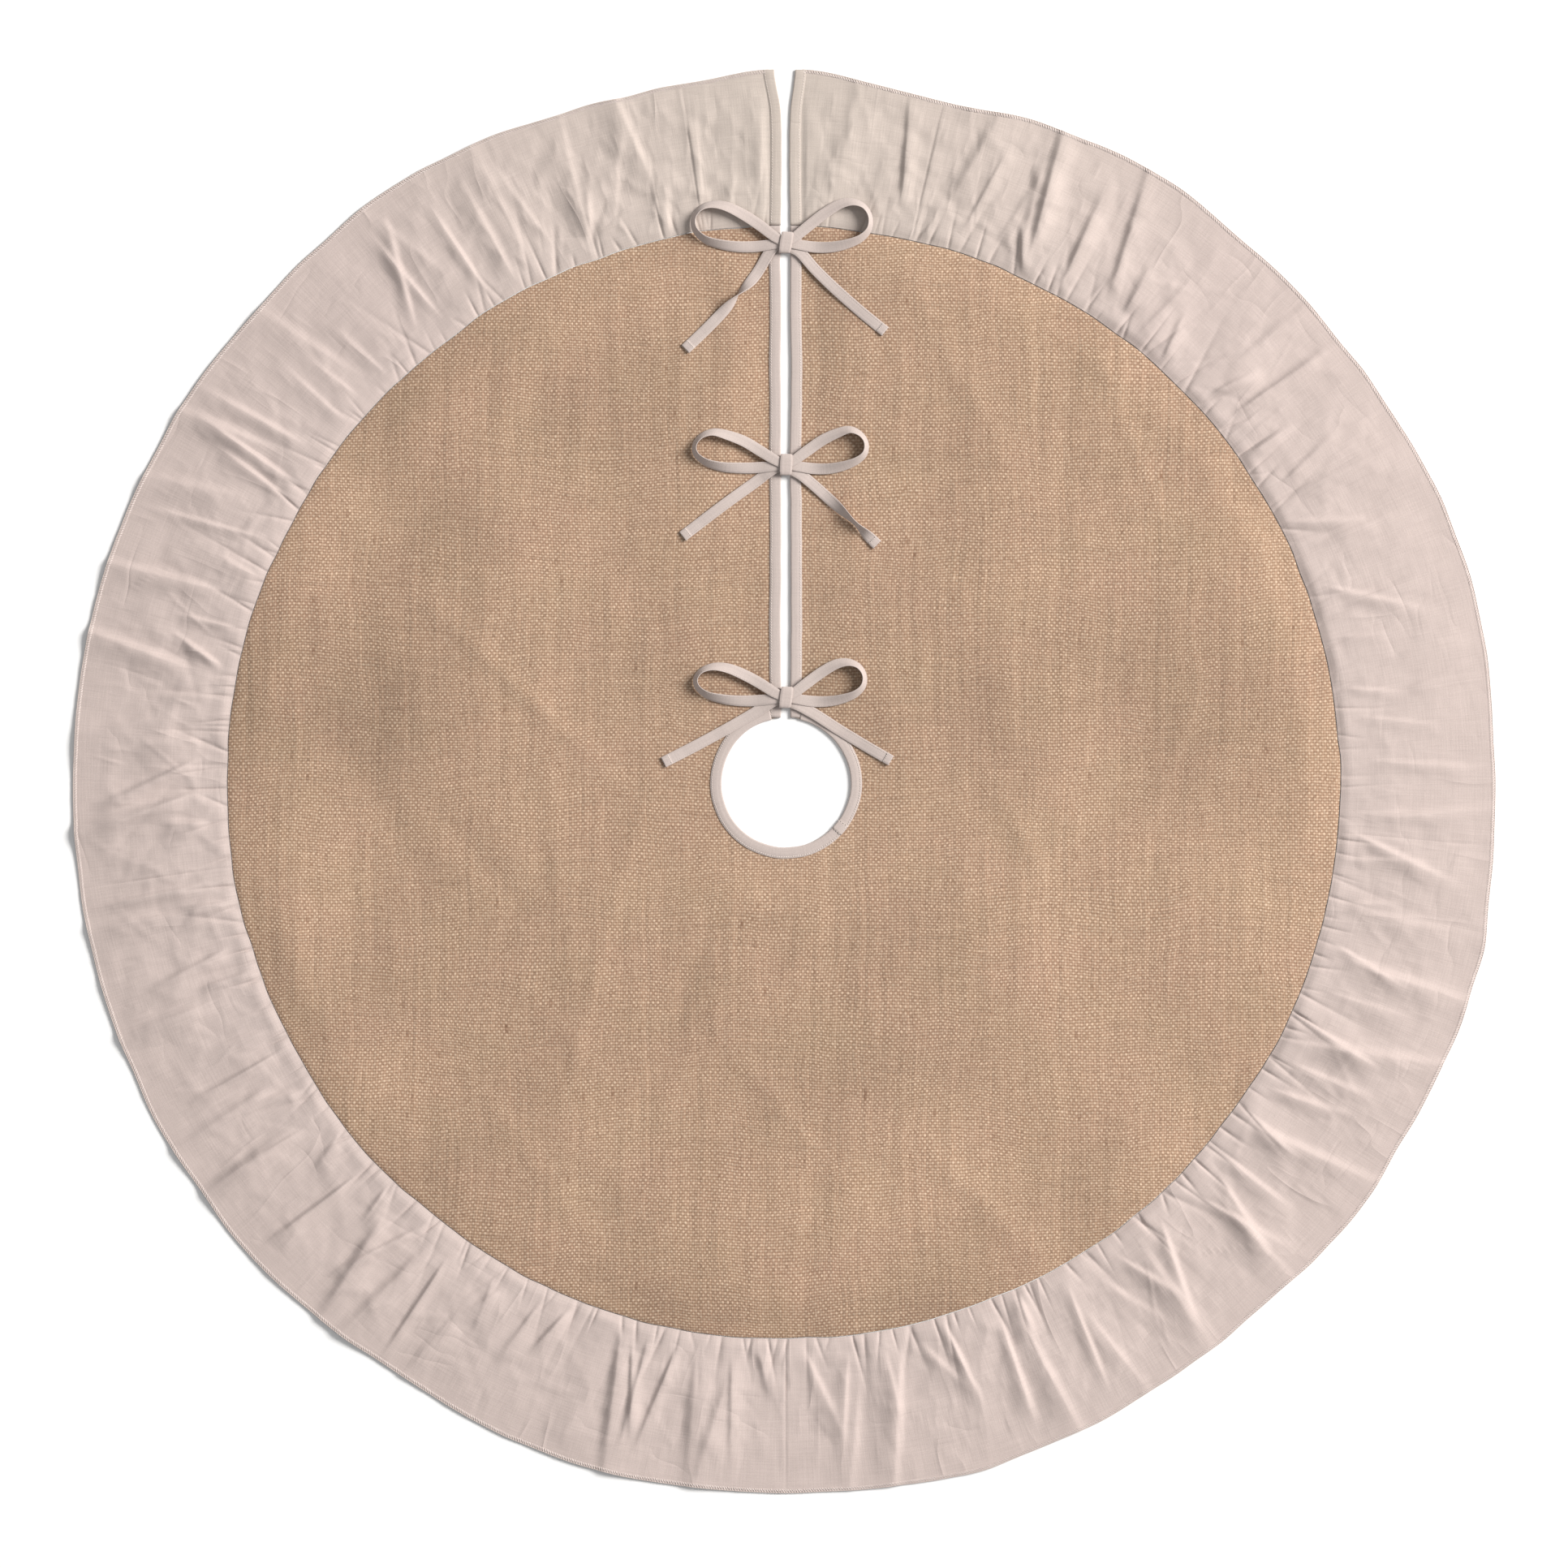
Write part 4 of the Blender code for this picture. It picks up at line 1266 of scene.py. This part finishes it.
def add_tail_hem(node, path, across, normal, width):
    """Cross stitches that hold the turned-up end of a tail, with a few loose thread ends."""
    at = int(len(path) * 0.93)
    up = normal[at] * (1 if normal[at][2] > 0 else -1)
    places = [path[at] + across[at] * width[at] * s + up * 0.85 * MM
              for s in (-0.36, -0.18, 0.0, 0.18, 0.36)]
    ways = [across[at]] * len(places)
    row = stitches(node + "_hem_stitches", places, ways, up, 1.5 * MM, 0.2 * MM, 0.15, THREAD, 131)
    tip = path[-1]
    ends, lies = [], []
    for s in (-0.4, -0.12, 0.2, 0.42):
        ends.append(tip + across[-1] * width[-1] * s - UP * 0.1 * MM)
        lies.append(unit(tangents(path)[-1] + across[-1] * (0.5 * s)))
    loose = stitches(node + "_loose_threads", ends, lies, UP, 2.6 * MM, 0.14 * MM, 0.2,
                     THREAD, 132)
    for item in (row, loose):
        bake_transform(item)


def make_knot(bow, knot):
    """A flat wrap of tie round the crossing, leaning a little, with the second turn peeping out."""
    node = "bow_{}_knot".format(bow)
    size = high(node) - low(node)
    lean = KNOT_LEANS[bow]
    angle = np.linspace(0, 2 * math.pi, KNOT_STEPS, endpoint=False)
    for layer, (shift, shrink, wide) in enumerate(((0.0, 0.0, 0.80), (0.30, 0.35 * MM, 0.62))):
        half_y, half_z = size[1] / 2 - 0.6 * MM - shrink, size[2] / 2 - 0.3 * MM - shrink
        cy = np.sign(np.cos(angle)) * np.abs(np.cos(angle)) ** 0.55 * half_y
        cz = np.sign(np.sin(angle)) * np.abs(np.sin(angle)) ** 0.62 * half_z
        cx = shift * size[0] * 0.5 + cy * -math.tan(lean)
        centres = np.stack([cx, cy, cz], axis=-1) + knot
        width = size[0] * wide * (1 - 0.10 * (cy / half_y) ** 2)
        outward = unit(np.stack([0 * cy, cy / half_y ** 2, cz / half_z ** 2], axis=-1))
        along = unit(np.roll(centres, -1, axis=0) - np.roll(centres, 1, axis=0))
        across = unit(np.cross(outward, along))
        rise = unit(np.cross(along, across))
        sections = np.array([tie_section(w, TIE_THICKNESS) for w in width])
        item = swept("{}_wrap_{}".format(node, layer + 1), centres, across, rise, sections, TAPE,
                     closed=True)
        if layer == 0:
            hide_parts(node)
        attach(item, "front")


def make_anchors(bow, knot):
    """The sewn ends of the two ties, running from the slit's bindings into the knot."""
    for word, side in SIDES:
        node = "bow_{}_anchor_{}".format(bow, word)
        far = HALF_SLIT + TAPE_WIDTH - 1.0 * MM
        x = np.linspace(far, 1.5 * MM, 24)
        z = BINDING_TOP + 0.65 * MM + 0.9 * MM * smoothstep(7 * MM, 1.5 * MM, x)
        path = np.stack([side * x, knot[1] + 0 * x, z], axis=-1)
        item, _, _ = tie_strip(node + "_tie", path, 0 * x, 0 * x + TIE_WIDTH * 0.92)
        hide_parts(node)
        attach(item, "front")
        places = [(side * (far - 1.6 * MM), knot[1] + s * TIE_WIDTH, BINDING_TOP + 1.15 * MM)
                  for s in (-0.33, -0.11, 0.11, 0.33)]
        tack = stitches(node + "_tacks", places, [(0, 1, 0)] * len(places), UP, 1.7 * MM,
                        STITCH_RADIUS, 0.2, THREAD, 141)
        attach(tack, "front")


def make_bows():
    for bow in BOWS:
        node = "bow_{}_knot".format(bow)
        knot = (low(node) + high(node)) / 2
        make_anchors(bow, knot)
        for word, side in SIDES:
            make_loop(bow, word, side, knot)
            make_tail(bow, word, side, knot)
        make_knot(bow, knot)


# ---------------------------------------------------------------- stage

# What the camera sees across at the floor, and how high it hangs, in metres
FRAME_WIDTH = 1.3352
CAMERA_HEIGHT = 6.0
CAMERA_OFF_CENTRE = (-1.4 * MM, -0.7 * MM)
SENSOR_WIDTH = 36.0
FLOOR_SIZE = 40
FLOOR_DEPTH = 0.2 * MM
FLOOR_WHITE = 0.93
WORLD_STRENGTH = 0.36


def make_camera():
    """A camera straight above the hole, looking down with the slit at the top."""
    data = bpy.data.cameras.new("overhead")
    data.sensor_width = SENSOR_WIDTH
    data.lens = SENSOR_WIDTH * CAMERA_HEIGHT / FRAME_WIDTH
    data.clip_end = 50
    item = bpy.data.objects.new("overhead", data)
    item.location = (*CAMERA_OFF_CENTRE, CAMERA_HEIGHT)
    bpy.context.scene.collection.objects.link(item)
    bpy.context.scene.camera = item


def make_light(name, place, size, power, colour):
    """A round soft light that points at the hole."""
    data = bpy.data.lights.new(name, "AREA")
    data.shape = "DISK"
    data.size = size
    data.energy = power
    data.color = colour
    item = bpy.data.objects.new(name, data)
    item.location = place
    item.rotation_euler = Vector(place).to_track_quat("Z", "Y").to_euler()
    bpy.context.scene.collection.objects.link(item)


def make_stage():
    """A pale floor, an even white surround, a key light from the right and a faint fill."""
    bpy.ops.mesh.primitive_plane_add(size=FLOOR_SIZE, location=(0, 0, -FLOOR_DEPTH))
    floor = bpy.context.object
    floor.name = "studio_floor"
    paint = bpy.data.materials.new("studio_floor")
    paint.use_nodes = True
    shader = paint.node_tree.nodes["Principled BSDF"]
    shader.inputs["Base Color"].default_value = (FLOOR_WHITE, FLOOR_WHITE, FLOOR_WHITE, 1)
    shader.inputs["Roughness"].default_value = 0.9
    shader.inputs["Specular IOR Level"].default_value = 0.1
    floor.data.materials.append(paint)
    world = bpy.data.worlds.new("studio")
    world.use_nodes = True
    sky = world.node_tree.nodes["Background"]
    sky.inputs["Color"].default_value = (1.0, 1.0, 1.0, 1)
    sky.inputs["Strength"].default_value = WORLD_STRENGTH
    bpy.context.scene.world = world
    make_light("key_light", (7.1, 3.0, 5.2), 4.8, 1480, (1.0, 0.98, 0.955))
    make_light("fill_light", (-2.2, -1.0, 3.0), 2.5, 10, (0.96, 0.98, 1.0))
    bpy.context.scene.view_settings.view_transform = "Standard"


make_camera()
make_stage()
make_burlap()
make_ruffle()
make_edge_stitching()
make_slit_tapes()
make_hole_tape()
make_seam_allowance()
make_bows()
